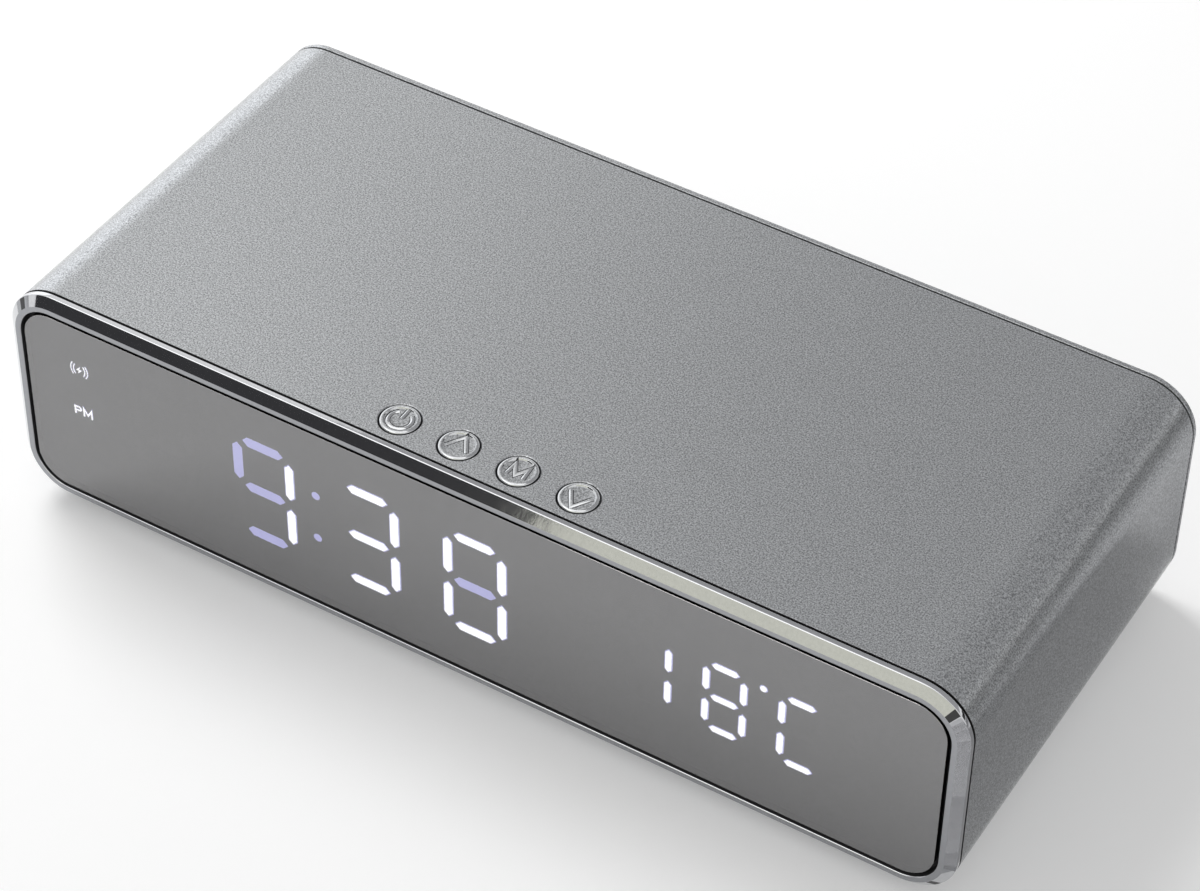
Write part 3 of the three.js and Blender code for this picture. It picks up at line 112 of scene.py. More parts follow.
class ClockCaseSettings(bpy.types.PropertyGroup):
    """Sizes and paint of the sleeve and the rear cover"""

    corner_radius: FloatProperty(
        name="Corner radius", description="Radius of the case's four long corners",
        default=8.3 * MM, min=2 * MM, max=15 * MM, unit="LENGTH")
    wall: FloatProperty(
        name="Wall", description="Thickness of the sleeve",
        default=2.4 * MM, min=1 * MM, max=4 * MM, unit="LENGTH")
    edge_round: FloatProperty(
        name="Edge rounding", description="Rounding of the sleeve's two ends",
        default=0.15 * MM, min=0.1 * MM, max=0.6 * MM, unit="LENGTH")
    paint: FloatVectorProperty(
        name="Paint", description="Colour of the silver paint",
        default=(0.43, 0.44, 0.45), size=3, subtype="COLOR", min=0, max=1)
    grain: FloatProperty(
        name="Paint grain", description="Size of the paint's metal flakes",
        default=0.22 * MM, min=0.05 * MM, max=1 * MM, unit="LENGTH")


class ClockFrontSettings(bpy.types.PropertyGroup):
    """Sizes and finish of the plated bezel and the half mirror"""

    bevel: FloatProperty(
        name="Bevel", description="How far the bezel's sloping edge runs in",
        default=1.5 * MM, min=0.5 * MM, max=3 * MM, unit="LENGTH")
    bevel_depth: FloatProperty(
        name="Bevel depth", description="How far the sloping edge runs back",
        default=1.2 * MM, min=0.3 * MM, max=1.4 * MM, unit="LENGTH")
    lip: FloatProperty(
        name="Lip", description="Flat front of the bezel between its slope and the mirror's gap",
        default=0.95 * MM, min=0.5 * MM, max=3 * MM, unit="LENGTH")
    plating: FloatVectorProperty(
        name="Plating", description="Colour of the bright plating",
        default=(0.62, 0.626, 0.645), size=3, subtype="COLOR", min=0, max=1)
    mirror: FloatVectorProperty(
        name="Mirror", description="Colour of the half mirror's coating",
        default=(0.775, 0.765, 0.76), size=3, subtype="COLOR", min=0, max=1)


class ClockDisplaySettings(bpy.types.PropertyGroup):
    """What the display shows and its light"""

    time: StringProperty(
        name="Time", description="Four places of the clock, a blank for an unlit place", default=" 938")
    degrees: StringProperty(
        name="Degrees", description="Three places of the thermometer", default="18C")
    white: FloatVectorProperty(
        name="White", description="Colour of a fully lit segment",
        default=(1.0, 1.0, 1.0), size=3, subtype="COLOR", min=0, max=1)
    lavender: FloatVectorProperty(
        name="Lavender", description="Colour of a dim segment and of the glow beside a lit one",
        default=(0.52, 0.52, 1.0), size=3, subtype="COLOR", min=0, max=1)
    light: FloatProperty(
        name="Light", description="Strength of a fully lit segment", default=2.15, min=0, max=10)
    glow: FloatProperty(
        name="Glow", description="Strength of a dim segment", default=1.22, min=0, max=10)


class ClockButtonSettings(bpy.types.PropertyGroup):
    """Sizes of the four buttons in the top"""

    radius: FloatProperty(
        name="Radius", description="Radius of a button",
        default=3 * MM, min=2 * MM, max=4 * MM, unit="LENGTH")
    gap: FloatProperty(
        name="Gap", description="Dark gap round a button",
        default=0.2 * MM, min=0.1 * MM, max=0.5 * MM, unit="LENGTH")
    ring: FloatProperty(
        name="Ring", description="Width of the raised ring round the dished top",
        default=0.55 * MM, min=0.2 * MM, max=1 * MM, unit="LENGTH")
    dish: FloatProperty(
        name="Dish", description="Depth of the dished top",
        default=0.24 * MM, min=0.05 * MM, max=0.4 * MM, unit="LENGTH")
    stroke: FloatProperty(
        name="Symbol stroke", description="Line width of the raised symbols",
        default=0.42 * MM, min=0.25 * MM, max=0.6 * MM, unit="LENGTH")


class ClockCoilSettings(bpy.types.PropertyGroup):
    """Winding of the charging coil"""

    turns: FloatProperty(
        name="Turns", description="Number of turns", default=8.5, min=1, max=12)
    pitch: FloatProperty(
        name="Pitch", description="Distance from turn to turn",
        default=1.4 * MM, min=1 * MM, max=2 * MM, unit="LENGTH")
    wire_radius: FloatProperty(
        name="Wire radius", description="Radius of the wire",
        default=0.42 * MM, min=0.2 * MM, max=0.6 * MM, unit="LENGTH")
    sides: IntProperty(
        name="Sides", description="Sides of the wire's section", default=12, min=6, max=24)


class ClockStageSettings(bpy.types.PropertyGroup):
    """Floor, lamp and surroundings"""

    floor: FloatVectorProperty(
        name="Floor", description="Colour of the floor",
        default=(0.80, 0.80, 0.80), size=3, subtype="COLOR", min=0, max=1)
    key: FloatProperty(
        name="Key lamp", description="Power of the large soft lamp", default=4.15, min=0, max=50,
        subtype="POWER")
    surroundings: FloatProperty(
        name="Surroundings", description="Strength of the even light from all sides",
        default=0.53, min=0, max=2)


# Profiles and outlines


def rounded(corners, closed=False):
    """A line through corners (u, v, radius), drawn with arcs of that radius."""
    points = []
    count = len(corners)
    for i, (u, v, radius) in enumerate(corners):
        here = Vector((u, v))
        if radius == 0 or (not closed and i in (0, count - 1)):
            points.append(here)
            continue
        before = (Vector(corners[i - 1][:2]) - here).normalized()
        after = (Vector(corners[(i + 1) % count][:2]) - here).normalized()
        half = before.angle(after) / 2
        reach = radius / math.tan(half)
        centre = here + (before + after).normalized() * radius / math.sin(half)
        start = here + before * reach - centre
        end = here + after * reach - centre
        swing = start.angle(end)
        for step in range(EDGE_STEPS + 1):
            share = step / EDGE_STEPS
            swung = start * math.sin((1 - share) * swing) + end * math.sin(share * swing)
            points.append(centre + swung / math.sin(swing))
    return points


def case_outline(inset, radius):
    """The case's outline from the front as (x, z), drawn in by inset, which its corners follow."""
    radius = max(radius - inset, 0.3 * MM)
    reach_x = HALF_WIDTH - inset - radius
    reach_z = HALF_HEIGHT - inset - radius
    points = []
    for quarter, (side_x, side_z) in enumerate(((1, 1), (-1, 1), (-1, -1), (1, -1))):
        for step in range(CORNER_STEPS + 1):
            angle = (quarter + step / CORNER_STEPS) * math.pi / 2
            x = side_x * reach_x + radius * math.cos(angle)
            z = MIDDLE_Z + side_z * reach_z + radius * math.sin(angle)
            points.append((x, z))
    return points


def slot_outline(length, width):
    """A slot with round ends about the origin, long along u."""
    reach = (length - width) / 2
    points = []
    for side in (1, -1):
        for step in range(SLOT_STEPS + 1):
            angle = math.pi * (step / SLOT_STEPS - 0.5) + (0 if side > 0 else math.pi)
            points.append((side * reach + width / 2 * math.cos(angle), width / 2 * math.sin(angle)))
    return points


def arc(radius, start, end, steps, centre=(0, 0)):
    """Points of an arc between two angles in degrees."""
    angles = [math.radians(start + (end - start) * i / steps) for i in range(steps + 1)]
    return [(centre[0] + radius * math.cos(a), centre[1] + radius * math.sin(a)) for a in angles]


def lug_outline(middle, half, outer, inner, centre):
    """A piece of a ring between two radii, from middle - half to middle + half degrees."""
    return (arc(outer, middle - half, middle + half, 10, centre)
            + arc(inner, middle + half, middle - half, 10, centre))


def stroke_outline(points, width):
    """The outline of a line drawn with a pen of that width, with mitred corners and square ends."""
    line = [Vector(p) for p in points]
    left, right = [], []
    for i, here in enumerate(line):
        before = (here - line[i - 1]).normalized() if i else None
        after = (line[i + 1] - here).normalized() if i + 1 < len(line) else None
        along = ((before or after) + (after or before)).normalized()
        across = Vector((-along.y, along.x))
        stretch = 1 / max(across.dot(Vector((-(after or before).y, (after or before).x))), 0.3)
        left.append(here + across * width / 2 * stretch)
        right.append(here - across * width / 2 * stretch)
    return left + right[::-1]


def corner_places(inset):
    """The case's four corners at one inset, as (x, z)."""
    x, z = HALF_WIDTH - inset, HALF_HEIGHT - inset
    return [(-x, MIDDLE_Z - z), (x, MIDDLE_Z - z), (x, MIDDLE_Z + z), (-x, MIDDLE_Z + z)]


def node_place(node, along="Z"):
    """The middle of a node's box, as the place of a solid that is turned along that axis."""
    low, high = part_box(node)
    if along == "Z":
        return (low.x + high.x) / 2, (low.y + high.y) / 2, 0
    return (low.x + high.x) / 2, 0, (low.z + high.z) / 2


def node_radius(node):
    """Half the width of a node's box."""
    low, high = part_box(node)
    return (high.x - low.x) / 2


# Solids


def new_piece(name, shape):
    """An object from a bmesh, its faces turned outwards."""
    bmesh.ops.recalc_face_normals(shape, faces=shape.faces)
    mesh = bpy.data.meshes.new(name)
    shape.to_mesh(mesh)
    shape.free()
    piece = bpy.data.objects.new(name, mesh)
    bpy.context.scene.collection.objects.link(piece)
    return piece


def add_rings(shape, rings, closed=False):
    """A skin through rings of equal length, closed on itself or capped at both ends."""
    loops = [[shape.verts.new(p) for p in ring] for ring in rings]
    count = len(loops[0])
    for here, there in zip(loops, loops[1:] + loops[:1] if closed else loops[1:]):
        for i in range(count):
            j = (i + 1) % count
            shape.faces.new((here[i], here[j], there[j], there[i]))
    if not closed:
        shape.faces.new(loops[0][::-1])
        shape.faces.new(loops[-1])


def ring_solid(name, rings, closed=False):
    """A solid from rings of points."""
    shape = bmesh.new()
    add_rings(shape, rings, closed)
    return new_piece(name, shape)


def case_rings(section, radius):
    """Rings of the case's outline for each (inset, y) of a section."""
    return [[(x, y, z) for x, z in case_outline(inset, radius)] for inset, y in section]


def add_turned(shape, profile, place, along="Z", steps=ROUND_STEPS):
    """A turned solid from (radius, height) points that start and end on its axis."""
    turn = Matrix.Identity(4) if along == "Z" else Matrix.Rotation(-math.pi / 2, 4, "X")
    to_place = Matrix.Translation(place) @ turn
    rings = []
    for radius, height in profile:
        if radius < 1e-9:
            rings.append([shape.verts.new(to_place @ Vector((0, 0, height)))])
            continue
        angles = [2 * math.pi * i / steps for i in range(steps)]
        points = [Vector((radius * math.cos(a), radius * math.sin(a), height)) for a in angles]
        rings.append([shape.verts.new(to_place @ p) for p in points])
    for here, there in zip(rings, rings[1:]):
        for i in range(steps):
            j = (i + 1) % steps
            corners = [ring[k % len(ring)] for ring, k in ((here, i), (here, j), (there, j), (there, i))]
            face = list(dict.fromkeys(corners))
            if len(face) > 2:
                shape.faces.new(face)


def add_rod(shape, radius, low, high, place, along="Z", steps=ROUND_STEPS):
    """A plain cylinder between two heights."""
    add_turned(shape, [(0, low), (radius, low), (radius, high), (0, high)], place, along, steps)


def turned_solid(name, profile, place, along="Z", steps=ROUND_STEPS):
    """One turned solid as an object."""
    shape = bmesh.new()
    add_turned(shape, profile, place, along, steps)
    return new_piece(name, shape)


def add_prism_z(shape, outline, low, high):
    """A prism with its outline (x, y) between two heights."""
    add_rings(shape, [[(x, y, z) for x, y in outline] for z in (low, high)])


def add_prism_y(shape, outline, low, high):
    """A prism with its outline (x, z) between two depths."""
    add_rings(shape, [[(x, y, z) for x, z in outline] for y in (low, high)])


def add_block(shape, low, high):
    """A block between two corners."""
    outline = ((low[0], low[1]), (high[0], low[1]), (high[0], high[1]), (low[0], high[1]))
    add_prism_z(shape, outline, low[2], high[2])


def new_shapes(count):
    """Empty bmeshes to collect solids in."""
    return [bmesh.new() for _ in range(count)]


def combined(base, operation, *shapes):
    """Joins each bmesh's solids to the base or cuts them out of it, one after the other."""
    for shape in shapes:
        other = new_piece(base.name + "_tool", shape)
        tool = base.modifiers.new("Shape", "BOOLEAN")
        tool.operation = operation
        tool.solver = "EXACT"
        tool.object = other
        graph = bpy.context.evaluated_depsgraph_get()
        made = bpy.data.meshes.new_from_object(base.evaluated_get(graph))
        base.modifiers.clear()
        made.name = base.name
        base.data = made
        bpy.data.objects.remove(other)


def settle(piece, material, slot, *nodes, body=BODY):
    """Gives a finished piece its material, smooth faces and body, and hides the nodes it stands for. The slot
    is not used.
    """
    piece.data.materials.clear()
    piece.data.materials.append(material)
    piece.data.shade_smooth()
    piece.data.set_sharp_from_angle(angle=SHARP_ANGLE)
    weighted = piece.modifiers.new("Even shading", "WEIGHTED_NORMAL")
    weighted.keep_sharp = True
    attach(piece, body)
    if nodes:
        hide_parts(*nodes)


def finish_faces(piece, material, chosen):
    """Gives the faces that are chosen a second material."""
    piece.data.materials.append(material)
    last = len(piece.data.materials) - 1
    for face in piece.data.polygons:
        if chosen(face):
            face.material_index = last


# Materials


class Finish:
    """A material under construction: its shader and short ways to add texture nodes."""

    def __init__(self, name, colour, roughness, metallic=0.0, **sockets):
        self.material = bpy.data.materials.new(name)
        self.material.use_nodes = True
        self.nodes = self.material.node_tree.nodes
        self.links = self.material.node_tree.links
        self.shader = self.nodes["Principled BSDF"]
        self.colour = tuple(colour)[:3]
        self.set(**{"Base Color": (*self.colour, 1), "Roughness": roughness, "Metallic": metallic})
        self.set(**sockets)
        self.place = self.nodes.new("ShaderNodeTexCoord").outputs["Object"]

    def set(self, **sockets):
        """Values of the shader's sockets, with _ for a blank in a socket's name."""
        for socket, value in sockets.items():
            self.shader.inputs[socket.replace("_", " ")].default_value = value

    def noise(self, size, detail=2.0, stretch=(1, 1, 1)):
        """A noise with grains of that size, longer along an axis by its stretch."""
        mapping = self.nodes.new("ShaderNodeMapping")
        mapping.inputs["Scale"].default_value = [1 / s for s in stretch]
        self.links.new(self.place, mapping.inputs["Vector"])
        texture = self.nodes.new("ShaderNodeTexNoise")
        texture.inputs["Scale"].default_value = 1 / size
        texture.inputs["Detail"].default_value = detail
        self.links.new(mapping.outputs["Vector"], texture.inputs["Vector"])
        return texture.outputs["Fac"]

    def ramp(self, factor, low, high, start=0.3, end=0.7):
        """Two colours spread over part of a factor's range."""
        ramp = self.nodes.new("ShaderNodeValToRGB")
        for stop, (position, colour) in zip(ramp.color_ramp.elements, ((start, low), (end, high))):
            stop.position = position
            stop.color = (*colour, 1)
        self.links.new(factor, ramp.inputs["Fac"])
        return ramp.outputs["Color"]

    def vary_colour(self, factor, amount, **span):
        """The colour a little darker and lighter by a factor."""
        low = [c * (1 - amount) for c in self.colour]
        high = [min(c * (1 + amount), 1) for c in self.colour]
        self.links.new(self.ramp(factor, low, high, **span), self.shader.inputs["Base Color"])

    def vary_roughness(self, factor, low, high):
        """The roughness spread from low to high by a factor."""
        spread = self.nodes.new("ShaderNodeMapRange")
        spread.inputs["To Min"].default_value = low
        spread.inputs["To Max"].default_value = high
        self.links.new(factor, spread.inputs["Value"])
        self.links.new(spread.outputs["Result"], self.shader.inputs["Roughness"])

    def bump(self, factor, strength, height):
        """A relief from a factor, its height in metres."""
        bump = self.nodes.new("ShaderNodeBump")
        bump.inputs["Strength"].default_value = strength
        bump.inputs["Distance"].default_value = height
        self.links.new(factor, bump.inputs["Height"])
        previous = self.shader.inputs["Normal"].links
        if previous:
            self.links.new(previous[0].from_socket, bump.inputs["Normal"])
        self.links.new(bump.outputs["Normal"], self.shader.inputs["Normal"])


def silver_paint(case):
    """Fine metal flakes in a satin lacquer."""
    finish = Finish("Silver paint", case.paint, 0.3, 0.85)
    flakes = finish.noise(case.grain, 3)
    finish.vary_colour(flakes, 0.45, start=0.36, end=0.64)
    finish.vary_roughness(finish.noise(6 * MM), 0.27, 0.33)
    finish.bump(flakes, 0.5, 0.02 * MM)
    return finish.material


def smooth_sheen_paint():
    """The same paint over rounded edges and raised lines, where it lies smooth, in a lighter colour that is a
    painted sheen.
    """
    finish = Finish("Smooth paint, painted sheen", (0.6, 0.61, 0.62), 0.15, 1.0)
    finish.vary_roughness(finish.noise(2 * MM), 0.13, 0.18)
    return finish.material


def plating(front):
    """Bright plating over moulded plastic, which is never quite flat."""
    finish = Finish("Bright plating", front.plating, 0.07, 1.0)
    finish.vary_colour(finish.noise(0.5 * MM), 0.03)
    finish.bump(finish.noise(4 * MM, 1), 0.35, 0.05 * MM)
    finish.bump(finish.noise(0.35 * MM), 0.15, 0.01 * MM)
    return finish.material


def half_mirror(front):
    """A coated sheet that mirrors the room and lets the segments' light through."""
    finish = Finish("Half mirror", front.mirror, 0.04, 1.0, Alpha=0.56)
    finish.vary_colour(finish.noise(0.6 * MM), 0.02)
    finish.vary_roughness(finish.noise(25 * MM), 0.03, 0.05)
    return finish.material


def clear_back():
    """The uncoated back of the mirror sheet, all but invisible."""
    finish = Finish("Clear back", (0.9, 0.9, 0.9), 0.1, Alpha=0.02)
    finish.vary_roughness(finish.noise(25 * MM), 0.08, 0.12)
    return finish.material


def lit_plastic(name, colour, strength):
    """A light sheet in front of an LED, a little brighter in places."""
    finish = Finish(name, (0.02, 0.02, 0.02), 0.5, Emission_Strength=strength)
    haze = finish.noise(2.5 * MM, 1)
    low = [c * 0.94 for c in colour]
    finish.links.new(finish.ramp(haze, low, tuple(colour)), finish.shader.inputs["Emission Color"])
    return finish.material


def moulded(name, colour, roughness=0.5, grain=0.25 * MM, metallic=0.0, **sockets):
    """Moulded plastic with a fine eroded texture."""
    finish = Finish(name, colour, roughness, metallic, **sockets)
    finish.vary_colour(finish.noise(3 * MM), 0.08)
    finish.bump(finish.noise(grain, 3), 0.25, 0.02 * MM)
    return finish.material


def brushed(name, colour, roughness=0.3):
    """Rolled metal with faint lines along X."""
    finish = Finish(name, colour, roughness, 1.0)
    lines = finish.noise(0.12 * MM, 2, (30, 1, 1))
    finish.vary_colour(lines, 0.1)
    finish.vary_roughness(lines, roughness - 0.08, roughness + 0.08)
    finish.bump(lines, 0.2, 0.005 * MM)
    return finish.material


def circuit_board():
    """Green lacquer over copper lanes, which show as paler bands."""
    finish = Finish("Circuit board", (0.012, 0.12, 0.04), 0.35)
    lanes = finish.nodes.new("ShaderNodeTexBrick")
    lanes.inputs["Scale"].default_value = 1 / (8 * MM)
    lanes.inputs["Color1"].default_value = (0.010, 0.105, 0.034, 1)
    lanes.inputs["Color2"].default_value = (0.014, 0.135, 0.046, 1)
    lanes.inputs["Mortar"].default_value = (0.03, 0.20, 0.07, 1)
    lanes.inputs["Mortar Size"].default_value = 0.03
    finish.links.new(finish.place, lanes.inputs["Vector"])
    finish.links.new(lanes.outputs["Color"], finish.shader.inputs["Base Color"])
    finish.bump(lanes.outputs["Fac"], 0.3, 0.03 * MM)
    return finish.material


def copper_wire():
    """Enamelled copper, a little uneven in colour."""
    finish = Finish("Enamelled copper", (0.72, 0.28, 0.11), 0.28, 1.0, Coat_Weight=0.6)
    finish.vary_colour(finish.noise(5 * MM), 0.12)
    finish.bump(finish.noise(0.3 * MM), 0.2, 0.01 * MM)
    return finish.material


# Case pieces


def guides(wall):
    """The boards that slide in the sleeve: edge, board heights, rib heights, run, and open behind or not."""
    main, button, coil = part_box("main_board"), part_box("button_board"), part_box("coil_carrier")
    floor_z, ceiling_z = BASE_Z + wall - SINK, TOP_Z - wall + SINK
    rear_end, carrier_start = 31.0 * MM, coil[0].y + 12.05 * MM
    return [
        (main[1].x, (main[0].z, main[1].z), (floor_z, main[1].z + PLAY + GUIDE_LIP),
         (main[0].y - PLAY - GUIDE_WALL, rear_end), True),
        (button[1].x, (button[0].z, button[1].z), (button[0].z - PLAY - GUIDE_LIP, ceiling_z),
         (button[0].y, button[1].y + PLAY + GUIDE_WALL), False),
        (coil[1].x, (coil[0].z, coil[0].z + CARRIER_RIM), (coil[0].z - PLAY - GUIDE_LIP, ceiling_z),
         (carrier_start, rear_end), True),
    ]


def add_guides(ribs, grooves, wall):
    """The ribs along the sleeve's sides and the grooves in them that the boards slide in."""
    for edge, board, rib, run, open_behind in guides(wall):
        if open_behind:
            groove = (run[0] + GUIDE_WALL, run[1] + OVERRUN)
        else:
            groove = (run[0] - OVERRUN, run[1] - GUIDE_WALL)
        for side in (-1, 1):
            left, right = sorted((side * (edge - GUIDE_LIP), side * (edge + PLAY + GUIDE_WALL)))
            add_block(ribs, (left, run[0], rib[0]), (right, run[1], rib[1]))
            left, right = sorted((side * (edge - GUIDE_LIP - OVERRUN), side * (edge + PLAY)))
            add_block(grooves, (left, groove[0], board[0] - PLAY), (right, groove[1], board[1] + PLAY))


def add_bayonet(holes, notches, wall):
    """The battery cover's recess and opening, and the notches that its three lugs pass."""
    place = node_place("battery_cover")
    recess, opening, chamfer = node_radius("battery_cover") + HUB_PLAY, HUB_RADIUS + HUB_PLAY, 0.15 * MM
    below, shelf, above = BASE_Z - OVERRUN, BASE_Z + 1.4 * MM, BASE_Z + wall + OVERRUN
    add_turned(holes, [
        (0, below), (recess + chamfer, below), (recess + chamfer, BASE_Z), (recess, BASE_Z + chamfer),
        (recess, shelf), (opening, shelf), (opening, above), (0, above),
    ], place)
    outer, inner, half = HUB_RADIUS + LUG_REACH + HUB_PLAY, HUB_RADIUS - OVERRUN, LUG_HALF_ANGLE + 1.5
    for lug in range(3):
        add_prism_z(notches, lug_outline(lug * 120 - LUG_TURN, half, outer, inner, place), below, above)


def barb_places():
    """Where the bezel's snap barbs sit: x, and 1 for the top or -1 for the floor."""
    return [(x, side) for x in (-BARB_X, BARB_X) for side in (-1, 1)]


def build_sleeve(case, buttons):
    """The moulded sleeve: guides, screw ports, button holes, foot recesses, bayonet and barb pockets."""
    front, back, edge, wall = SLEEVE[0].y, SLEEVE[1].y, case.edge_round, case.wall
    section = rounded([(0, front, edge), (0, back, edge), (wall, back, 0), (wall, front, 0)], closed=True)
    sleeve = ring_solid("sleeve_shell", case_rings(section, case.corner_radius), closed=True)

    ribs, grooves, ports, holes, notches, pockets = new_shapes(6)
    add_guides(ribs, grooves, wall)
    port_places = [(x, 0, z) for x, z in corner_places(wall + PORT_RADIUS - SINK)]
    port_start, port_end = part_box("display_screw_low_left")[1].y + 1.4 * MM, 34.4 * MM
    for place in port_places:
        add_rod(ports, PORT_RADIUS, port_start, port_end, place, "Y", 32)
    combined(sleeve, "UNION", ribs, ports)

    hole, chamfer, hole_start = buttons.radius + buttons.gap, 0.12 * MM, TOP_Z - 4 * MM
    for name in BUTTONS:
        add_turned(holes, [
            (0, hole_start), (hole, hole_start), (hole, TOP_Z - chamfer),
            (hole + chamfer, TOP_Z), (hole + chamfer, TOP_Z + OVERRUN), (0, TOP_Z + OVERRUN),
        ], node_place(name + "_button"))
    foot_play, foot_recess, pilot_start = 0.3 * MM, 0.6 * MM, 28.5 * MM
    for name in FEET:
        radius = node_radius(name) + foot_play
        add_rod(holes, radius, BASE_Z - OVERRUN, BASE_Z + foot_recess, node_place(name))
    for place in port_places:
        add_rod(holes, PILOT_RADIUS, pilot_start, REAR_Y, place, "Y", 24)
    add_bayonet(holes, notches, wall)
    inner, play, pocket_depth = HALF_HEIGHT - wall, 0.3 * MM, 0.8 * MM
    half, y0, y1 = BARB_HALF + play, front + BARB_START - play, front + BARB_START + BARB_DEPTH + play
    for x, side in barb_places():
        z0, z1 = sorted(MIDDLE_Z + side * height for height in (inner - OVERRUN, inner + pocket_depth))
        add_block(pockets, (x - half, y0, z0), (x + half, y1, z1))
    combined(sleeve, "DIFFERENCE", grooves, holes, notches, pockets)
    settle(sleeve, silver_paint(case), "silver_paint", "case_sleeve")
    # The sleeve's front end is near black, as painted shade in the seam behind the bezel.
    seam_shade = moulded("Painted seam shade", (0.012, 0.012, 0.012), 0.7, Specular_IOR_Level=0.2)
    finish_faces(sleeve, seam_shade, lambda face: face.normal.y < -0.5 and face.center.y < front + 0.1 * MM)


def inside_window(point, window):
    """Whether a point lies behind the lip on the window's side of the bezel."""
    inset = min(HALF_WIDTH - abs(point.x), HALF_HEIGHT - abs(point.z - MIDDLE_Z))
    return point.y > FRONT_Y + 0.12 * MM and inset > window - 0.05 * MM


def build_bezel(front, case):
    """The plated bezel: sloping face, flat lip, ledge for the mirror, spigot, bosses and snap barbs."""
    window = front.bevel + front.lip
    ledge_y = FILM[1].y + 0.1 * MM
    ring_back = SLEEVE[0].y - 0.3 * MM
    spigot_back, opening = BEZEL[1].y, 5.0 * MM
    section = rounded([
        (front.bevel, FRONT_Y, 0.1 * MM), (0, FRONT_Y + front.bevel_depth, 0.22 * MM),
        (0, ring_back, 0.12 * MM), (SPIGOT_INSET, ring_back, 0), (SPIGOT_INSET, spigot_back, 0),
        (opening, spigot_back, 0), (opening, ledge_y, 0), (window, ledge_y, 0), (window, FRONT_Y, 0.18 * MM),
    ], closed=True)
    bezel = ring_solid("bezel_ring", case_rings(section, case.corner_radius), closed=True)
    bosses, pilots, notch = new_shapes(3)
    boss_radius, pilot_floor, tip_inset = 2.4 * MM, 0.3 * MM, 1.9 * MM
    for name in CORNER_NAMES:
        place = node_place("display_screw_" + name, "Y")
        add_rod(bosses, boss_radius, ledge_y, spigot_back, place, "Y", 32)
        add_rod(pilots, PILOT_RADIUS, ledge_y + pilot_floor, spigot_back + OVERRUN, place, "Y", 24)
    foot, tip = HALF_HEIGHT - SPIGOT_INSET, HALF_HEIGHT - tip_inset
    y0, y1 = SLEEVE[0].y + BARB_START, SLEEVE[0].y + BARB_START + BARB_DEPTH
    outline = [(y0, foot - SINK), (y1, foot - SINK), (y1, foot), (y0, tip)]
    for x, side in barb_places():
        add_rings(bosses, [[(x + end, y, MIDDLE_Z + side * height) for y, height in outline]
                           for end in (-BARB_HALF, BARB_HALF)])
    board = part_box("button_board")
    reach = board[1].x + 2.05 * MM
    add_block(notch, (-reach, board[0].y - 0.3 * MM, board[0].z - 1.65 * MM),
              (reach, spigot_back + OVERRUN, TOP_Z - case.wall))
    combined(bezel, "UNION", bosses)
    combined(bezel, "DIFFERENCE", pilots, notch)
    settle(bezel, plating(front), "chrome_trim", "front_bezel")
    # The faces behind the lip, round the window, are near black.
    window_walls_dark = moulded("Dark window walls", (0.045, 0.045, 0.047), 0.5)
    finish_faces(bezel, window_walls_dark, lambda face: inside_window(face.center, window))


def build_mirror(front, radius):
    """The half mirror, its front edge ground to a narrow bevel."""
    low, high = MIRROR[0].y - 0.1 * MM, MIRROR[1].y
    edge, inset = 0.04 * MM, MIRROR_INSET + 0.03 * MM
    section = [(inset + edge, low), (inset, low + edge), (inset, high)]
    mirror = ring_solid("mirror_sheet", case_rings(section, radius))
    settle(mirror, half_mirror(front), "half_mirror", "mirror_panel")
    finish_faces(mirror, clear_back(), lambda face: face.normal.y > 0.9)
    # The mirror's edge is near black, as painted shade in the gap between the lip and the mirror.
    rim = moulded("Painted gap shade", (0.004, 0.004, 0.004), 0.6, Specular_IOR_Level=0.1)
    finish_faces(mirror, rim, lambda face: abs(face.normal.y) < 0.5)


# Display

# Segments of each character that glow: a is the top, then clockwise to f, and g is the middle
SHOWN = {" ": "", "0": "abcdef", "1": "bc", "2": "abdeg", "3": "abcdg", "4": "bcfg", "5": "acdfg",
         "6": "acdefg", "7": "abc", "8": "abcdefg", "9": "abcdfg", "C": "adef"}
SEGMENT_PLACES = {"a": (0, 1), "b": (1, 0.5), "c": (1, -0.5), "d": (0, -1), "e": (-1, -0.5),
                  "f": (-1, 0.5), "g": (0, 0)}
DIM_SEGMENTS = {(1, "a"), (1, "f"), (1, "g"), (1, "d"), (3, "g")}
# In millimetres: the first digit's middle, the step to the next, the spread of its segments,
# and the length and width of a level and an upright segment
BIG_DIGIT = {"first": -53.35, "pitch": 18.25, "width": 9.15, "height": 9.03,
             "level": (7.2, 1.85), "upright": (7.4, 1.75)}
SMALL_DIGIT = {"first": 30.45, "pitch": 12.05, "width": 6.0, "height": 6.35,
               "level": (4.75, 1.45), "upright": (4.8, 1.35)}
DIGIT_Z = 20.7
DOTS = ((-25.975, 4.25, 0.75, "dim"), (-25.975, -4.25, 0.75, "dim"), (48.525, 6.15, 0.7, "lit"))
DOT_SIDES = 24
CHARGING_SIGN = (-68.2, 29.05)
AFTERNOON_SIGN = (-69.74, 19.72)
# Millimetres behind the film's front
LAYERS = {"window": (0.02, 0.22), "lit": (-0.06, 0.01), "backing": (-0.03, -0.01), "sign": (-0.08, -0.05)}
SEGMENT_RIM, RIM_SHIFT, SIGN_RIM = 0.19, 0.03, 0.09


def segment_outline(digit, place, name, shrink):
    """A hexagonal segment of a digit, in millimetres as (x, z), drawn in by shrink."""
    across, up = SEGMENT_PLACES[name]
    x = digit["first"] + place * digit["pitch"] + across * digit["width"] / 2
    z = DIGIT_Z + up * digit["height"]
    level = across == 0
    length, width = digit["level" if level else "upright"]
    tip, half = length / 2 - shrink * math.sqrt(2), width / 2 - shrink
    shoulder = tip - half
    points = [(tip, 0), (shoulder, half), (-shoulder, half), (-tip, 0), (-shoulder, -half), (shoulder, -half)]
    return [(x + u, z + v) if level else (x - v, z + u) for u, v in points]


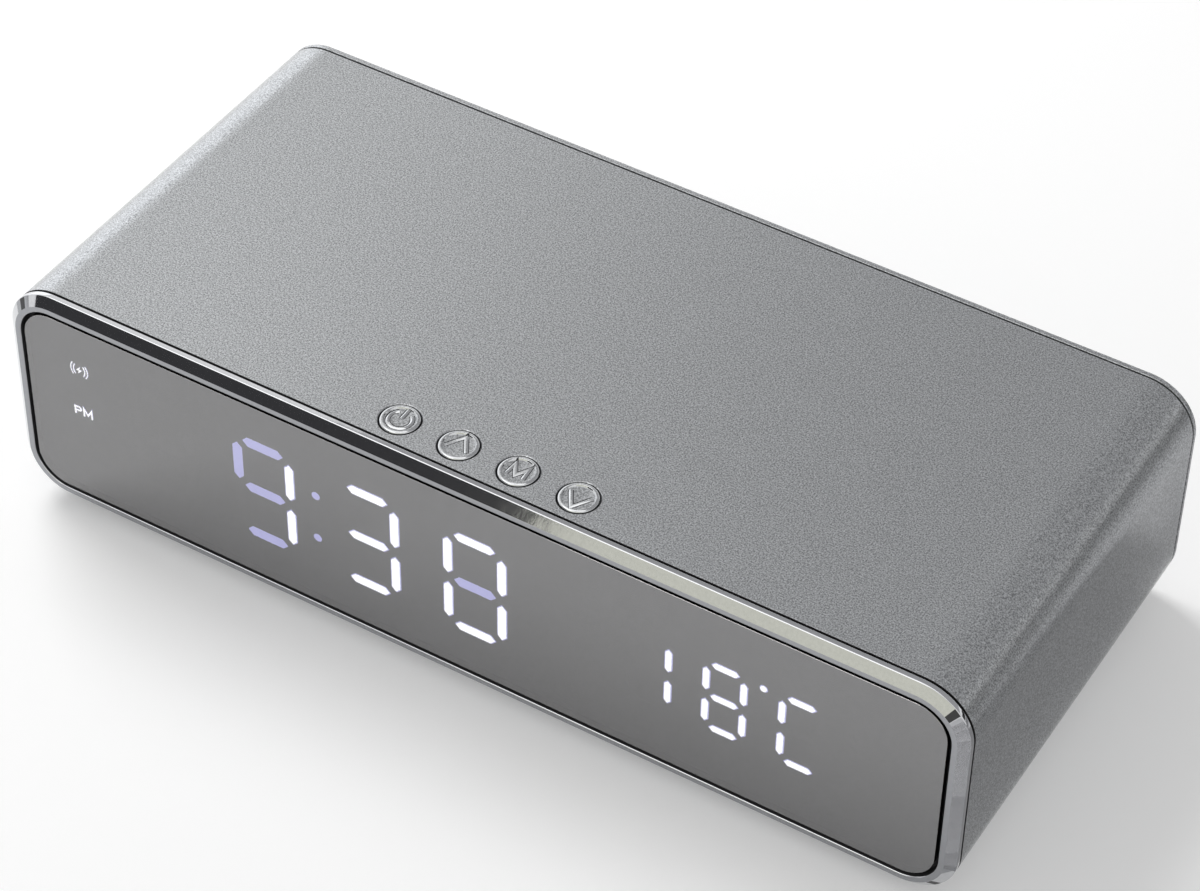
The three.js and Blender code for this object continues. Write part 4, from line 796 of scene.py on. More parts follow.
def display_segments(display):
    """Every window of the film: its outline, the same drawn in by its rim, and lit, dim or dark."""
    made = []
    for digit, text, places in ((BIG_DIGIT, display.time, 4), (SMALL_DIGIT, display.degrees, 3)):
        for place in range(places):
            for name in "abcdefg":
                lit = name in SHOWN[text[place]]
                dim = digit is BIG_DIGIT and (place, name) in DIM_SEGMENTS
                state = ("dim" if dim else "lit") if lit else "dark"
                made.append((*(segment_outline(digit, place, name, rim) for rim in (0, SEGMENT_RIM)), state))
    for x, rise, radius, state in DOTS:
        made.append((*(arc(radius - rim, 0, 360 - 360 / DOT_SIDES, DOT_SIDES - 1, (x, DIGIT_Z + rise))
                       for rim in (0, SEGMENT_RIM)), state))
    return made


def scaled(points):
    """Millimetres to metres."""
    return [(u * MM, v * MM) for u, v in points]


def symbol_outlines(spread):
    """The charging sign and the afternoon sign in millimetres, each line wider by spread."""
    outlines = []
    (x, z), pen, scale = CHARGING_SIGN, 0.15 + spread, 1.2 + spread
    for side in (1, -1):
        for radius, centre in ((1.6, -0.56), (2.0, -0.46)):
            bow = arc(radius, -36, 36, 8)
            outlines.append(stroke_outline([(x + side * (u + centre), z + v) for u, v in bow], pen))
    bolt = [(0.2, 0.62), (-0.46, -0.1), (-0.04, -0.07), (-0.2, -0.62), (0.46, 0.1), (0.04, 0.07)]
    outlines.append([(x + u * scale, z + v * scale) for u, v in bolt])
    (x, z), rise, pen, bow = AFTERNOON_SIGN, 1.62, 0.28, 0.36
    left, top, straight = x + pen / 2, z + rise - pen / 2, x + 0.65
    stem = [(x, z - spread / 2), (x, z + rise + spread / 2)]
    bowl = [(left, top), (straight, top), *arc(bow, 90, -90, 8, (x + 0.7, top - bow)),
            (straight, top - 2 * bow), (left, top - 2 * bow)]
    x += 1.6
    peaks = [(x, z), (x, z + rise), (x + 0.72, z + 0.45), (x + 1.44, z + rise), (x + 1.44, z)]
    return outlines + [stroke_outline(line, pen + spread) for line in (stem, bowl, peaks)]


def add_layer(shape, outline, layer):
    """A flat form in one of the display's layers, from an outline in millimetres."""
    low, high = (FILM[0].y + level * MM for level in LAYERS[layer])
    add_prism_y(shape, scaled(outline), low, high)


def build_display(display):
    """Lit, dim and dark segments in the film's windows, and the signs printed beside them."""
    glow, lit, dark, signs = new_shapes(4)
    for window, inner, state in display_segments(display):
        add_layer(dark if state == "dark" else glow, window, "window")
        if state == "lit":
            add_layer(lit, [(u - RIM_SHIFT, v - RIM_SHIFT) for u, v in inner], "lit")
    for outline in symbol_outlines(0):
        add_layer(signs, outline, "sign")
    for outline in symbol_outlines(SIGN_RIM):
        add_layer(glow, outline, "backing")
    white = lit_plastic("Lit segment", display.white, display.light)
    lavender = lit_plastic("Lavender glow", display.lavender, display.glow)
    bright = lit_plastic("Lit sign", display.white, display.light * 0.9)
    for name, shape, material in (("lit_segments", lit, white), ("glow_segments", glow, lavender),
                                  ("lit_signs", signs, bright)):
        settle(new_piece(name, shape), material, "milky_film")
    smoke = moulded("Smoked sheet", (0.012, 0.012, 0.013), 0.6)
    settle(new_piece("dark_segments", dark), smoke, "black_film")


# Buttons


def button_symbol(name, pen):
    """The lines of a button's symbol as outlines in millimetres about its middle."""
    if name == "power":
        return [stroke_outline(arc(1.78, 125, 415, 40), pen), stroke_outline([(0, 0.3), (0, 2.3)], pen)]
    if name == "mode":
        line = [(-1.35, -1.1), (-1.15, 1.1), (0, -0.8), (1.15, 1.1), (1.35, -1.1)]
        return [stroke_outline(line, pen)]
    side = 1 if name == "up" else -1
    return [stroke_outline([(-1.75, -0.8 * side), (0, 2.0 * side), (1.75, -0.8 * side)], pen)]


def build_button(name, settings, paint, smooth, shade):
    """A cap with its flange, raised ring, dished top and raised symbol."""
    node = name + "_button"
    low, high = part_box(node)
    x, y, _ = place = node_place(node)
    radius, flange, shoulder = settings.radius, node_radius(node), low.z + 0.8 * MM
    inner, floor = radius - settings.ring, high.z - settings.dish
    profile = rounded([
        (0, low.z, 0), (flange, low.z, 0), (flange, shoulder, 0), (radius, shoulder, 0),
        (radius, high.z, 0.38 * MM), (inner, high.z, 0.1 * MM),
        (inner - 0.6 * settings.dish, floor, 0.06 * MM), (0, floor, 0),
    ])
    cap = turned_solid(name + "_cap", profile, place)
    pen, depth, skin = settings.stroke / MM, 0.14 * MM, 0.01 * MM
    groove = [(pen + 0.4, floor - depth), (pen + 0.4, high.z + OVERRUN)]
    ridge = [(pen + 0.18, floor - 0.2 * MM), (pen + 0.18, floor - skin), (pen - 0.34, floor + 0.15 * MM)]
    for operation, levels in (("DIFFERENCE", groove), ("UNION", ridge)):
        outlines = [[scaled(outline) for outline in button_symbol(name, width)] for width, _ in levels]
        for line in zip(*outlines):
            shape = bmesh.new()
            add_rings(shape, [[(x + u, y + v, z) for u, v in points] for points, (_, z) in zip(line, levels)])
            combined(cap, operation, shape)
    settle(cap, paint, "silver_paint", node, body=node)
    # The slopes of the ring and the symbol get the lighter smooth paint: smoother paint, and a painted sheen.
    finish_faces(cap, smooth, lambda face: face.center.z > floor + skin and 0.1 < face.normal.z < 0.985)
    finish_faces(cap, shade, lambda face: floor - depth - 2 * skin < face.center.z < floor - skin)


# Rear and base


def add_slot_cutter(shape, length, width, place, turned, start):
    """A slot through the rear cover with its rear mouth chamfered."""
    chamfer, through = 0.2 * MM, REAR_Y + OVERRUN
    rings = []
    for grow, y in ((0, start), (0, REAR_Y - chamfer), (2 * chamfer, REAR_Y), (2 * chamfer, through)):
        outline = slot_outline(length + grow, width + grow)
        if turned:
            outline = [(v, u) for u, v in outline]
        rings.append([(place[0] + u, y, place[1] + v) for u, v in outline])
    add_rings(shape, rings)


def build_rear_cover(case, paint):
    """The rear cover with its spigot, stop ribs, vents, inlet mouth and counterbores."""
    plate_y, rim_y = 34.5 * MM, 35.5 * MM
    start, joined, spigot_inner = REAR[0].y, plate_y + 0.5 * MM, SPIGOT_INSET + 1.6 * MM
    section = rounded([(SPIGOT_INSET, plate_y, 0), (SPIGOT_INSET, rim_y, 0), (0, rim_y, 0.1 * MM),
                       (0, REAR_Y, 0.35 * MM), (0.6 * MM, REAR_Y, 0)])
    cover = ring_solid("rear_panel", case_rings(section, case.corner_radius))
    spigot, stops, cuts, ports = new_shapes(4)
    tube = [(SPIGOT_INSET, start), (SPIGOT_INSET, joined), (spigot_inner, joined), (spigot_inner, start)]
    add_rings(spigot, case_rings(tube, case.corner_radius), True)
    main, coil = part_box("main_board"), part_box("coil_carrier")
    main_stop, coil_stop, stop_half = 42 * MM, 15 * MM, 2 * MM
    for side in (-1, 1):
        for x, board_y, z0, z1 in ((main_stop, main[1].y, main[0].z, main[1].z),
                                   (coil_stop, coil[1].y, coil[0].z, coil[0].z + CARRIER_RIM)):
            add_block(stops, (side * x - stop_half, board_y + PLAY, z0), (side * x + stop_half, joined, z1))
    combined(cover, "UNION", spigot, stops)

    vents, vent_middle, vent_pitch = 6, -38, 3.2
    for i in range(vents):
        x = (vent_middle + (i - (vents - 1) / 2) * vent_pitch) * MM
        add_slot_cutter(cuts, 9 * MM, 1.4 * MM, (x, MIDDLE_Z), True, plate_y - OVERRUN)
    low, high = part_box("power_inlet_shell")
    add_slot_cutter(cuts, high.x - low.x + 0.6 * MM, high.z - low.z + 0.6 * MM, (0, (low.z + high.z) / 2),
                    False, plate_y - OVERRUN)
    clear, shank, head, seat, chamfer = 3.5 * MM, 1.3 * MM, 2.3 * MM, 35.2 * MM, 0.15 * MM
    for name in CORNER_NAMES:
        add_turned(ports, [
            (0, start - OVERRUN), (clear, start - OVERRUN), (clear, plate_y), (shank, plate_y),
            (shank, seat), (head, seat), (head, REAR_Y - chamfer), (head + chamfer, REAR_Y),
            (head + chamfer, REAR_Y + OVERRUN), (0, REAR_Y + OVERRUN),
        ], node_place("rear_screw_" + name, "Y"), "Y", 48)
    combined(cover, "DIFFERENCE", cuts, ports)
    settle(cover, paint, "silver_paint", "rear_cover")


def build_screw(node, steel):
    """A screw with a ridged shank, a domed head and a cross recess."""
    low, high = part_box(node)
    x, _, z = place = node_place(node, "Y")
    head, seat = node_radius(node), high.y - 1.1 * MM
    core, crest, pitch = 0.8 * MM, 0.98 * MM, 0.8 * MM
    profile = [(0, low.y), (0.5 * MM, low.y), (core, low.y + 0.4 * MM)]
    for i in range(int((high.y - low.y - 2.2 * MM) / pitch)):
        y = low.y + 0.6 * MM + i * pitch
        profile += [(crest, y + 0.2 * MM), (crest, y + 0.3 * MM), (core, y + 0.5 * MM)]
    profile += [(core, seat - 0.05 * MM), (crest, seat - 0.02 * MM), (crest, seat), (head, seat)]
    profile += rounded([(head, seat, 0), (head, seat + 0.55 * MM, 0.15 * MM),
                        (head * 0.72, high.y, 0.3 * MM), (0, high.y, 0)])[1:]
    piece = turned_solid(node + "_turned", profile, place, "Y", 32)
    cross, bar = new_shapes(2)
    arm, half, depth = 1.15 * MM, 0.2 * MM, 0.7 * MM
    for shape, dx, dz in ((cross, arm, half), (bar, half, arm)):
        add_block(shape, (x - dx, high.y - depth, z - dz), (x + dx, high.y + OVERRUN, z + dz))
    combined(piece, "DIFFERENCE", cross, bar)
    settle(piece, steel, "steel", node)


def build_inlet(tin, black):
    """The power inlet: a drawn metal shell and a tongue with its contacts."""
    low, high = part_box("power_inlet_shell")
    centre_z, length, width = (low.z + high.z) / 2, high.x - low.x, high.z - low.z
    skin, lip = 0.3 * MM, 0.1 * MM
    section = ((lip, low.y), (0, low.y + lip), (0, high.y - lip), (lip, high.y),
               (skin - lip / 2, high.y), (skin, high.y - lip), (skin, low.y + 1.2 * MM))
    rings = []
    for inset, y in section:
        outline = slot_outline(length - 2 * inset, width - 2 * inset)
        rings.append([(u, y, centre_z + v) for u, v in outline])
    settle(ring_solid("inlet_shell", rings), tin, "tin", "power_inlet_shell")
    low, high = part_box("power_inlet_tongue")
    tongue, pads = new_shapes(2)
    add_block(tongue, low, high)
    bmesh.ops.bevel(tongue, geom=tongue.edges[:], offset=0.12 * MM, segments=2, profile=0.7, affect="EDGES")
    settle(new_piece("inlet_tongue", tongue), black, "black_plastic", "power_inlet_tongue")
    contacts, pitch, half, proud = 12, 0.5 * MM, 0.12 * MM, 0.02 * MM
    y0, y1 = low.y + 0.6 * MM, high.y - 0.4 * MM
    for i in range(contacts):
        x = (i - (contacts - 1) / 2) * pitch
        add_block(pads, (x - half, y0, high.z - proud), (x + half, y1, high.z + proud))
    settle(new_piece("inlet_contacts", pads), tin, "tin")


def build_battery_cover(paint):
    """The twist-off cover: a disc with a coin slot, a hollow hub and three lugs."""
    low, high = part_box("battery_cover")
    x, y, _ = place = node_place("battery_cover")
    radius, hub_inner, disc_top = node_radius("battery_cover"), HUB_RADIUS - 1.6 * MM, low.z + 1.2 * MM
    cover = turned_solid("twist_cover", rounded([
        (0, low.z, 0), (radius, low.z, 0.25 * MM), (radius, disc_top, 0), (HUB_RADIUS, disc_top, 0),
        (HUB_RADIUS, high.z, 0.1 * MM), (hub_inner, high.z, 0.1 * MM), (hub_inner, disc_top, 0),
        (0, disc_top, 0),
    ]), place)
    lugs, slot, marks = new_shapes(3)
    outer, inner, lug_z = HUB_RADIUS + LUG_REACH, HUB_RADIUS - 0.6 * MM, high.z - 1.2 * MM
    for lug in range(3):
        add_prism_z(lugs, lug_outline(lug * 120, LUG_HALF_ANGLE, outer, inner, place), lug_z, high.z)
    below, arrow = low.z - OVERRUN, scaled(((-0.9, 9.0), (0.9, 9.0), (0, 10.8)))
    add_prism_z(slot, [(x + u, y + v) for u, v in slot_outline(15 * MM, 1.9 * MM)], below, low.z + 0.7 * MM)
    add_prism_z(marks, [(x + u, y + v) for u, v in arrow], below, low.z + 0.25 * MM)
    combined(cover, "UNION", lugs)
    combined(cover, "DIFFERENCE", slot, marks)
    settle(cover, paint, "silver_paint", "battery_cover", body="battery_cover")


def build_foot(node, rubber):
    """A rubber pad with a rounded rim and two shallow rings."""
    low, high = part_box(node)
    radius, groove = node_radius(node), low.z + 0.15 * MM
    profile = [(0, low.z)]
    for inner, outer in ((1.0 * MM, 1.4 * MM), (2.2 * MM, 2.6 * MM)):
        profile += [(inner, low.z), (inner, groove), (outer, groove), (outer, low.z)]
    profile += rounded([(3.0 * MM, low.z, 0), (radius, low.z, 0.4 * MM),
                        (radius, high.z, 0.1 * MM), (0, high.z, 0)])
    settle(turned_solid(node + "_pad", profile, node_place(node)), rubber, "rubber", node)


# Inner parts


def sweep(name, points, radius, sides):
    """A round wire along a line of points, its section carried along without a twist."""
    side = Vector((1, 0, 0))
    rings = []
    for i, point in enumerate(points):
        along = (points[min(i + 1, len(points) - 1)] - points[max(i - 1, 0)]).normalized()
        side = (side - along * side.dot(along)).normalized()
        other = along.cross(side)
        angles = [2 * math.pi * k / sides for k in range(sides)]
        rings.append([point + (side * math.cos(a) + other * math.sin(a)) * radius for a in angles])
    return ring_solid(name, rings)


def build_coil(coil, copper):
    """The charging coil, one flat spiral of wire with two leads."""
    low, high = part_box("charging_coil")
    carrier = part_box("coil_carrier")
    bend, ramp, steps = 2 * MM, 3.5 * MM, 72
    coil_to_rear = 26.12 * MM
    centre_y = carrier[1].y - coil_to_rear
    wire_z = high.z - coil.wire_radius
    outer = high.x - coil.wire_radius
    drop_y = high.y - coil.wire_radius

    def lead(x, z):
        """One end of the wire, bent down towards the main board."""
        start = drop_y - bend
        curve = [Vector((x, start + bend * math.sin(a), z - bend * (1 - math.cos(a))))
                 for a in (math.pi / 2 * i / 8 for i in range(9))]
        return [*curve, Vector((x, drop_y, low.z))]

    count = round(coil.turns * steps)
    spiral = []
    for i in range(count + 1):
        radius, angle = outer - coil.pitch * i / steps, -2 * math.pi * i / steps
        spiral.append(Vector((radius * math.cos(angle), centre_y + radius * math.sin(angle), wire_z)))
    end = spiral[-1]
    dive = [Vector((end.x, end.y + ramp * s, wire_z - coil.pitch * (1 - math.cos(math.pi * s)) / 2))
            for s in (i / 12 for i in range(1, 13))]
    path = lead(outer, wire_z)[::-1] + spiral + dive + lead(end.x, wire_z - coil.pitch)
    winding = sweep("coil_winding", path, coil.wire_radius, coil.sides)
    settle(winding, copper, "copper", "charging_coil")


def build_ribbon(node, path, material):
    """A flat cable along a path of (y, z), ridged over its conductors."""
    low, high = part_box(node)
    thickness, pitch = 0.3 * MM, 1 * MM
    conductors = round((high.x - low.x) / pitch)
    rings = []
    for i, point in enumerate(path):
        before, after = path[max(i - 1, 0)], path[min(i + 1, len(path) - 1)]
        along = (after - before).normalized()
        across = Vector((-along.y, along.x))
        upper, lower = [], []
        for k in range(conductors * 4 + 1):
            x = low.x + (high.x - low.x) * k / (conductors * 4)
            half = thickness * (0.36 + 0.13 * (1 - math.cos(math.pi * k / 2)) / 2)
            for line, sign in ((upper, 1), (lower, -1)):
                edge = point + across * half * sign
                line.append((x, edge.x, edge.y))
        rings.append(upper + lower[::-1])
    settle(ring_solid(node + "_flex", rings), material, "ribbon_white", node)


def ribbon_paths():
    """Middle lines of the two flat cables as (y, z)."""
    half = 0.15 * MM
    low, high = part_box("display_ribbon")
    bend = 3 * MM + half
    bend_y, bend_z = high.y - half - bend, high.z - half - bend
    turn = [Vector((bend_y + bend * math.sin(a), bend_z + bend * math.cos(a)))
            for a in (math.pi / 2 * i / 10 for i in range(11))]
    display = [Vector((low.y, high.z - half)), *turn, Vector((high.y - half, low.z))]
    low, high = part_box("button_ribbon")
    sag, run = high.y - low.y - 2 * half, high.z - low.z
    radius = (run * run / 4 + sag * sag) / (2 * sag)
    swing = math.asin(run / 2 / radius)
    centre_y, centre_z = high.y - half - radius, (low.z + high.z) / 2
    bowed = [Vector((centre_y + radius * math.cos(a), centre_z + radius * math.sin(a)))
             for a in (swing * (i / 8 - 1) for i in range(17))]
    return {"display_ribbon": display, "button_ribbon": bowed}


def inner_finishes():
    """Materials of the inner nodes that keep their CAD shape."""
    steel = brushed("Rolled steel", (0.50, 0.51, 0.52))
    board = circuit_board()
    black = moulded("Black moulding", (0.02, 0.02, 0.022))
    chip = moulded("Chip moulding", (0.012, 0.012, 0.013), 0.45)
    socket = moulded("Ivory moulding", (0.66, 0.60, 0.44))
    ferrite = moulded("Ferrite", (0.03, 0.03, 0.034), 0.7, 0.1 * MM, 0.2)
    blue = moulded("Blue lacquer", (0.03, 0.08, 0.25), 0.3)
    finishes = (
        (moulded("Black film", (0.006, 0.006, 0.007), 0.6), "segment_film"),
        (moulded("Milky sheet", (0.75, 0.77, 0.82), 0.6), "diffuser_sheet"),
        (moulded("White moulding", (0.78, 0.78, 0.76)), "light_reflector"),
        (board, "display_board button_board main_board"),
        (steel, "power_switch up_switch mode_switch down_switch filter_capacitor clock_crystal button_cell"),
        (steel, "cell_top_contact cell_side_contact"),
        (black, "power_switch_pin up_switch_pin mode_switch_pin down_switch_pin"),
        (black, "coil_carrier buzzer cell_holder temperature_sensor"),
        (chip, "charge_controller_chip clock_chip display_driver_chip"),
        (socket, "display_ribbon_socket main_display_socket button_ribbon_socket main_button_socket"),
        (ferrite, "ferrite_sheet power_inductor"),
        (blue, "resonant_capacitor_a resonant_capacitor_b"),
    )
    return {node: material for material, nodes in finishes for node in nodes.split()}


# Stage

FLOOR_SIZE = (6, 6)
FLOOR_GLOW = 0.22
CARD_DISTANCE = 0.8
LAMP_PLACE = (-0.5, 0.2, 0.64)
LAMP_TARGET = (0, 0, 0.02)
LAMP_SIZE = (0.4, 0.4)


def flat_sheet(name, size, place=Matrix.Identity(4)):
    """A rectangle of one face about the origin, moved to its place."""
    half_w, half_h = size[0] / 2, size[1] / 2
    corners = ((-half_w, -half_h), (half_w, -half_h), (half_w, half_h), (-half_w, half_h))
    shape = bmesh.new()
    shape.faces.new([shape.verts.new(place @ Vector((x, y, 0))) for x, y in corners])
    return new_piece(name, shape)


def stage_card(name, centre, facing, size, shader, colour):
    """A card that only reflections see. Its shader is Emission, or Transparent for a smoked sheet."""
    turn = Vector(facing).to_track_quat("Z", "Y").to_matrix().to_4x4()
    card = flat_sheet(name, size, Matrix.Translation(centre) @ turn)
    material = bpy.data.materials.new(name)
    material.use_nodes = True
    nodes = material.node_tree.nodes
    nodes.remove(nodes["Principled BSDF"])
    surface = nodes.new("ShaderNodeEmission" if shader == "Emission" else "ShaderNodeBsdfTransparent")
    surface.inputs["Color"].default_value = (*colour, 1)
    material.node_tree.links.new(surface.outputs[0], nodes["Material Output"].inputs["Surface"])
    card.data.materials.append(material)
    card.visible_camera = card.visible_diffuse = card.visible_shadow = card.visible_transmission = False


def toward(azimuth, elevation, distance):
    """A direction from the clock: azimuth 0 is straight behind it and 90 to the viewer's right."""
    a, e = math.radians(azimuth), math.radians(elevation)
    return Vector((math.sin(a) * math.cos(e), math.cos(a) * math.cos(e), math.sin(e))) * distance


def build_cards():
    """Pale, grey and dark cards round the clock that its paint and plating mirror."""
    middle = Vector((0, 0, 0.03))
    light, smoke = "Emission", "Transparent"
    around = (
        ("grey_back_card", 38, 48, (1.78, 1.0), (0.42, 0.42, 0.43)),
        ("dark_horizon_card", 48, 5, (0.7, 0.12), (0.03, 0.03, 0.03)),
        ("bright_left_card", -70, 13, (0.8, 0.45), (1.6, 1.62, 1.66)),
        ("bright_front_card", -150, 47, (0.7, 0.3), (2.2, 2.2, 2.2)),
    )
    for name, azimuth, elevation, size, colour in around:
        way = toward(azimuth, elevation, CARD_DISTANCE)
        stage_card(name, middle + way, -way, size, light, colour)
    down, back, up = (0, 0, -1), (0, 1, 0), (0, 0, 1)
    placed = (
        ("overhead_card", (-0.1, -0.08, 0.9), down, (1.6, 0.4), light, (1.7, 1.7, 1.7)),
        ("dark_front_card", (-0.55, -0.55, 0.23), back, (0.65, 0.36), light, (0.05, 0.05, 0.053)),
        ("pale_front_card", (0.175, -0.551, 0.23), back, (0.8, 0.36), light, (0.8, 0.8, 0.7)),
        ("grey_front_sheet", (-0.7075, -0.7875, 0.0004), up, (1.585, 1.5), smoke, (0.56, 0.565, 0.575)),
        ("pale_corner_sheet", (0.7925, -0.7875, 0.0004), up, (1.415, 1.5), smoke, (0.83, 0.83, 0.84)),
        ("grey_right_sheet", (0.883, 0.6, 0.0004), up, (1.6, 1.8), light, (0.28, 0.28, 0.285)),
        ("pale_right_sheet", (0.148, 0.1, 0.0008), up, (0.12, 0.11), light, (0.62, 0.62, 0.63)),
    )
    for card in placed:
        stage_card(*card)


def seen_directly(nodes, links):
    """A factor that is 1 for camera, glossy and transmission rays."""
    path = nodes.new("ShaderNodeLightPath")
    total = path.outputs["Is Camera Ray"]
    for name in ("Is Glossy Ray", "Is Transmission Ray"):
        add = nodes.new("ShaderNodeMath")
        add.operation = "ADD"
        add.use_clamp = True
        links.new(total, add.inputs[0])
        links.new(path.outputs[name], add.inputs[1])
        total = add.outputs[0]
    return total


def build_floor(stage):
    """A plain pale floor that renders white where no shadow falls."""
    floor = flat_sheet("floor", FLOOR_SIZE)
    material = bpy.data.materials.new("Pale floor")
    material.use_nodes = True
    nodes, links = material.node_tree.nodes, material.node_tree.links
    shader = nodes["Principled BSDF"]
    shader.inputs["Base Color"].default_value = (*stage.floor, 1)
    shader.inputs["Roughness"].default_value = 0.9
    shader.inputs["Specular IOR Level"].default_value = 0.1
    shader.inputs["Emission Color"].default_value = (1, 1, 1, 1)
    strength = nodes.new("ShaderNodeMath")
    strength.operation = "MULTIPLY"
    strength.inputs[1].default_value = FLOOR_GLOW
    links.new(seen_directly(nodes, links), strength.inputs[0])
    links.new(strength.outputs[0], shader.inputs["Emission Strength"])
    floor.data.materials.append(material)


def build_world(stage):
    """White surroundings for camera and reflections, and a softer even light."""
    world = bpy.data.worlds.new("Surroundings")
    bpy.context.scene.world = world
    world.use_nodes = True
    nodes, links = world.node_tree.nodes, world.node_tree.links
    even = nodes["Background"]
    even.inputs["Color"].default_value = (1, 1, 1, 1)
    even.inputs["Strength"].default_value = stage.surroundings
    white = nodes.new("ShaderNodeBackground")
    white.inputs["Color"].default_value = (1, 1, 1, 1)
    white.inputs["Strength"].default_value = 1.0
    mix = nodes.new("ShaderNodeMixShader")
    links.new(seen_directly(nodes, links), mix.inputs["Fac"])
    links.new(even.outputs["Background"], mix.inputs[1])
    links.new(white.outputs["Background"], mix.inputs[2])
    links.new(mix.outputs["Shader"], nodes["World Output"].inputs["Surface"])


def build_lamp(power):
    """A large soft lamp that faces the clock and shows in no reflection."""
    data = bpy.data.lights.new("Key lamp", "AREA")
    data.shape = "RECTANGLE"
    data.size, data.size_y = LAMP_SIZE
    data.energy = power
    lamp = bpy.data.objects.new("Key lamp", data)
    lamp.location = LAMP_PLACE
    lamp.rotation_mode = "QUATERNION"
    lamp.rotation_quaternion = (Vector(LAMP_TARGET) - Vector(LAMP_PLACE)).to_track_quat("-Z", "Y")
    lamp.visible_glossy = False
    bpy.context.scene.collection.objects.link(lamp)


def build_camera():
    """The camera at the photograph's angle."""
    data = bpy.data.cameras.new("Camera")
    data.sensor_fit = "HORIZONTAL"
    data.sensor_width = 36
    data.lens = 108.777
    data.shift_x = -0.0833
    data.shift_y = -0.0833
    data.clip_start, data.clip_end = 0.01, 20
    camera = bpy.data.objects.new("Camera", data)
    right = (0.86269506, 0.50475822, 0.03124687)
    up = (-0.35769518, 0.56533399, 0.74327091)
    back = (0.35750718, -0.65239300, 0.66826042)
    place = (0.20169, -0.33693, 0.39335)
    camera.matrix_world = Matrix([(right[i], up[i], back[i], place[i]) for i in range(3)] + [(0, 0, 0, 1)])
    bpy.context.scene.collection.objects.link(camera)
    bpy.context.scene.camera = camera


# Operators


class CLOCK_OT_sleeve(bpy.types.Operator):
    """Build the painted sleeve"""

    bl_idname = "clock.build_sleeve"
    bl_label = "Sleeve"

    def execute(self, context):
        build_sleeve(context.scene.clock_case, context.scene.clock_buttons)
        return {"FINISHED"}


class CLOCK_OT_bezel(bpy.types.Operator):
    """Build the plated bezel"""

    bl_idname = "clock.build_bezel"
    bl_label = "Bezel"

    def execute(self, context):
        build_bezel(context.scene.clock_front, context.scene.clock_case)
        return {"FINISHED"}


class CLOCK_OT_mirror(bpy.types.Operator):
    """Build the half mirror"""

    bl_idname = "clock.build_mirror"
    bl_label = "Mirror"

    def execute(self, context):
        build_mirror(context.scene.clock_front, context.scene.clock_case.corner_radius)
        return {"FINISHED"}


class CLOCK_OT_display(bpy.types.Operator):
    """Build the segments and signs of the display"""

    bl_idname = "clock.build_display"
    bl_label = "Display"

    def execute(self, context):
        build_display(context.scene.clock_display)
        return {"FINISHED"}


class CLOCK_OT_buttons(bpy.types.Operator):
    """Build the four button caps with their symbols"""

    bl_idname = "clock.build_buttons"
    bl_label = "Buttons"

    def execute(self, context):
        paint = bpy.data.materials["Silver paint"]
        # smooth is the buttons' lighter paint with a painted sheen, and shade is the painted groove shade.
        smooth, shade = smooth_sheen_paint(), moulded("Groove shade", (0.03, 0.03, 0.032), 0.6)
        for name in BUTTONS:
            build_button(name, context.scene.clock_buttons, paint, smooth, shade)
        return {"FINISHED"}


class CLOCK_OT_rear(bpy.types.Operator):
    """Build the rear cover, its screws and the power inlet"""

    bl_idname = "clock.build_rear"
    bl_label = "Rear"

    def execute(self, context):
        build_rear_cover(context.scene.clock_case, bpy.data.materials["Silver paint"])
        steel = brushed("Screw steel", (0.42, 0.43, 0.44))
        for place in ("rear", "display"):
            for corner in CORNER_NAMES:
                build_screw(f"{place}_screw_{corner}", steel)
        tin = brushed("Tinned steel", (0.62, 0.63, 0.64), 0.22)
        build_inlet(tin, moulded("Inlet moulding", (0.02, 0.02, 0.022)))
        return {"FINISHED"}


class CLOCK_OT_base(bpy.types.Operator):
    """Build the battery cover and the feet"""

    bl_idname = "clock.build_base"
    bl_label = "Base"

    def execute(self, context):
        build_battery_cover(bpy.data.materials["Silver paint"])
        rubber = moulded("Rubber", (0.016, 0.016, 0.017), 0.8, 0.4 * MM)
        for node in FEET:
            build_foot(node, rubber)
        return {"FINISHED"}


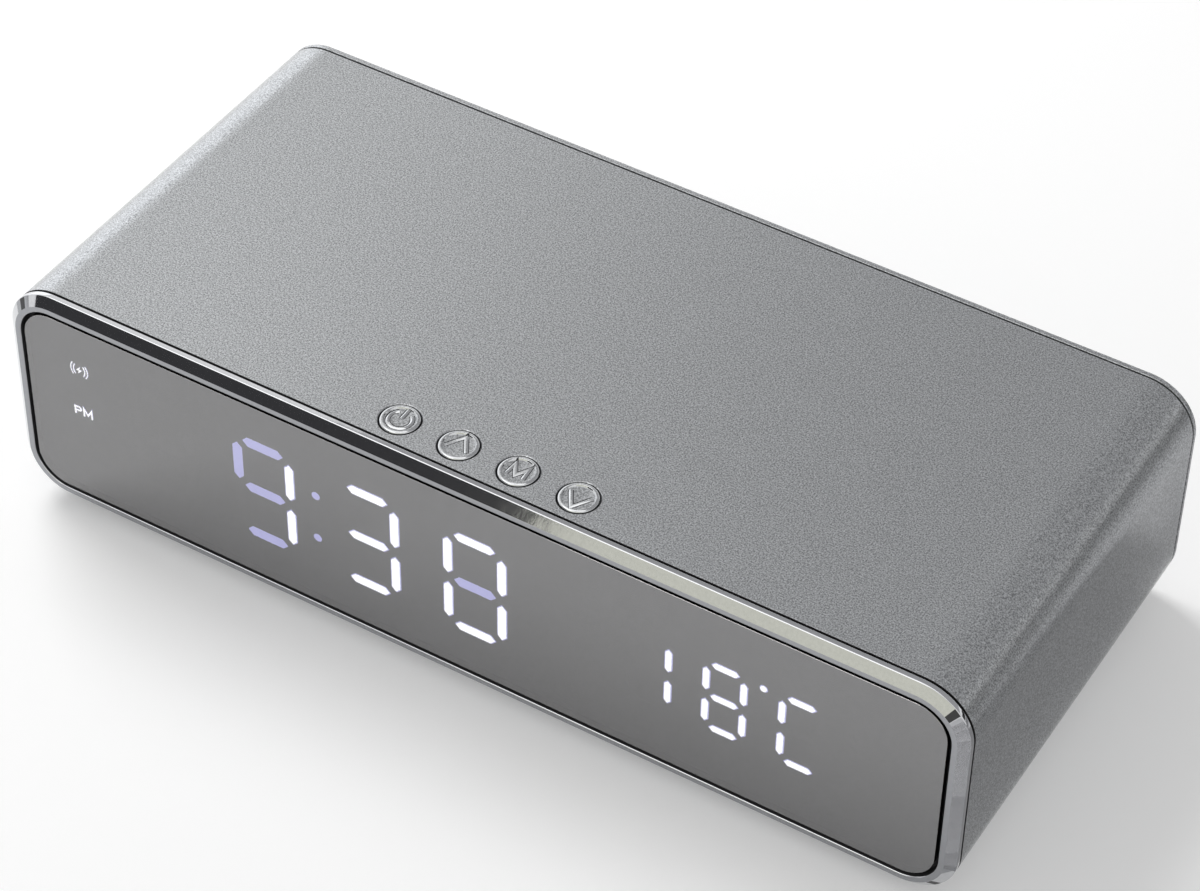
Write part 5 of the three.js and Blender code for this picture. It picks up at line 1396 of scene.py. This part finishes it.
class CLOCK_OT_inner(bpy.types.Operator):
    """Build the coil and the flat cables, and finish the inner parts"""

    bl_idname = "clock.finish_inner"
    bl_label = "Inner parts"

    def execute(self, context):
        build_coil(context.scene.clock_coil, copper_wire())
        ribbon = moulded("Cable film", (0.66, 0.66, 0.60), 0.4)
        for node, path in ribbon_paths().items():
            build_ribbon(node, path, ribbon)
        for node, material in inner_finishes().items():
            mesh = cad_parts[node].data
            mesh.materials.clear()
            mesh.materials.append(material)
        return {"FINISHED"}


class CLOCK_OT_stage(bpy.types.Operator):
    """Build the floor, the surroundings, the lamp, the cards and the camera"""

    bl_idname = "clock.build_stage"
    bl_label = "Stage"

    def execute(self, context):
        stage = context.scene.clock_stage
        build_floor(stage)
        build_world(stage)
        build_lamp(stage.key)
        build_cards()
        build_camera()
        context.scene.view_settings.view_transform = "Standard"
        return {"FINISHED"}


OPERATORS = (
    CLOCK_OT_sleeve, CLOCK_OT_bezel, CLOCK_OT_mirror, CLOCK_OT_display, CLOCK_OT_buttons, CLOCK_OT_rear,
    CLOCK_OT_base, CLOCK_OT_inner, CLOCK_OT_stage,
)
SETTINGS = {
    "clock_case": ClockCaseSettings, "clock_front": ClockFrontSettings, "clock_display": ClockDisplaySettings,
    "clock_buttons": ClockButtonSettings, "clock_coil": ClockCoilSettings, "clock_stage": ClockStageSettings,
}


class CLOCK_PT_panel(bpy.types.Panel):
    """Lists the clock's pieces and settings in the sidebar"""

    bl_label = "Charging clock"
    bl_idname = "CLOCK_PT_panel"
    bl_space_type = "VIEW_3D"
    bl_region_type = "UI"
    bl_category = "Clock"

    def draw(self, context):
        for operator in OPERATORS:
            self.layout.operator(operator.bl_idname)
        for name, group in SETTINGS.items():
            box = self.layout.box()
            for setting in group.__annotations__:
                box.prop(getattr(context.scene, name), setting)


CLASSES = (*SETTINGS.values(), *OPERATORS, CLOCK_PT_panel)


def register():
    """Registers the classes and gives the scene its settings."""
    for item in CLASSES:
        bpy.utils.register_class(item)
    for name, group in SETTINGS.items():
        setattr(bpy.types.Scene, name, bpy.props.PointerProperty(type=group))


def unregister():
    """Takes the settings and classes away again."""
    for name in SETTINGS:
        delattr(bpy.types.Scene, name)
    for item in reversed(CLASSES):
        bpy.utils.unregister_class(item)


def main():
    """Registers the add-on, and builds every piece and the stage."""
    register()
    for operator in OPERATORS:
        group, name = operator.bl_idname.split(".")
        getattr(getattr(bpy.ops, group), name)()
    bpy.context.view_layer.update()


if __name__ == "__main__":
    main()
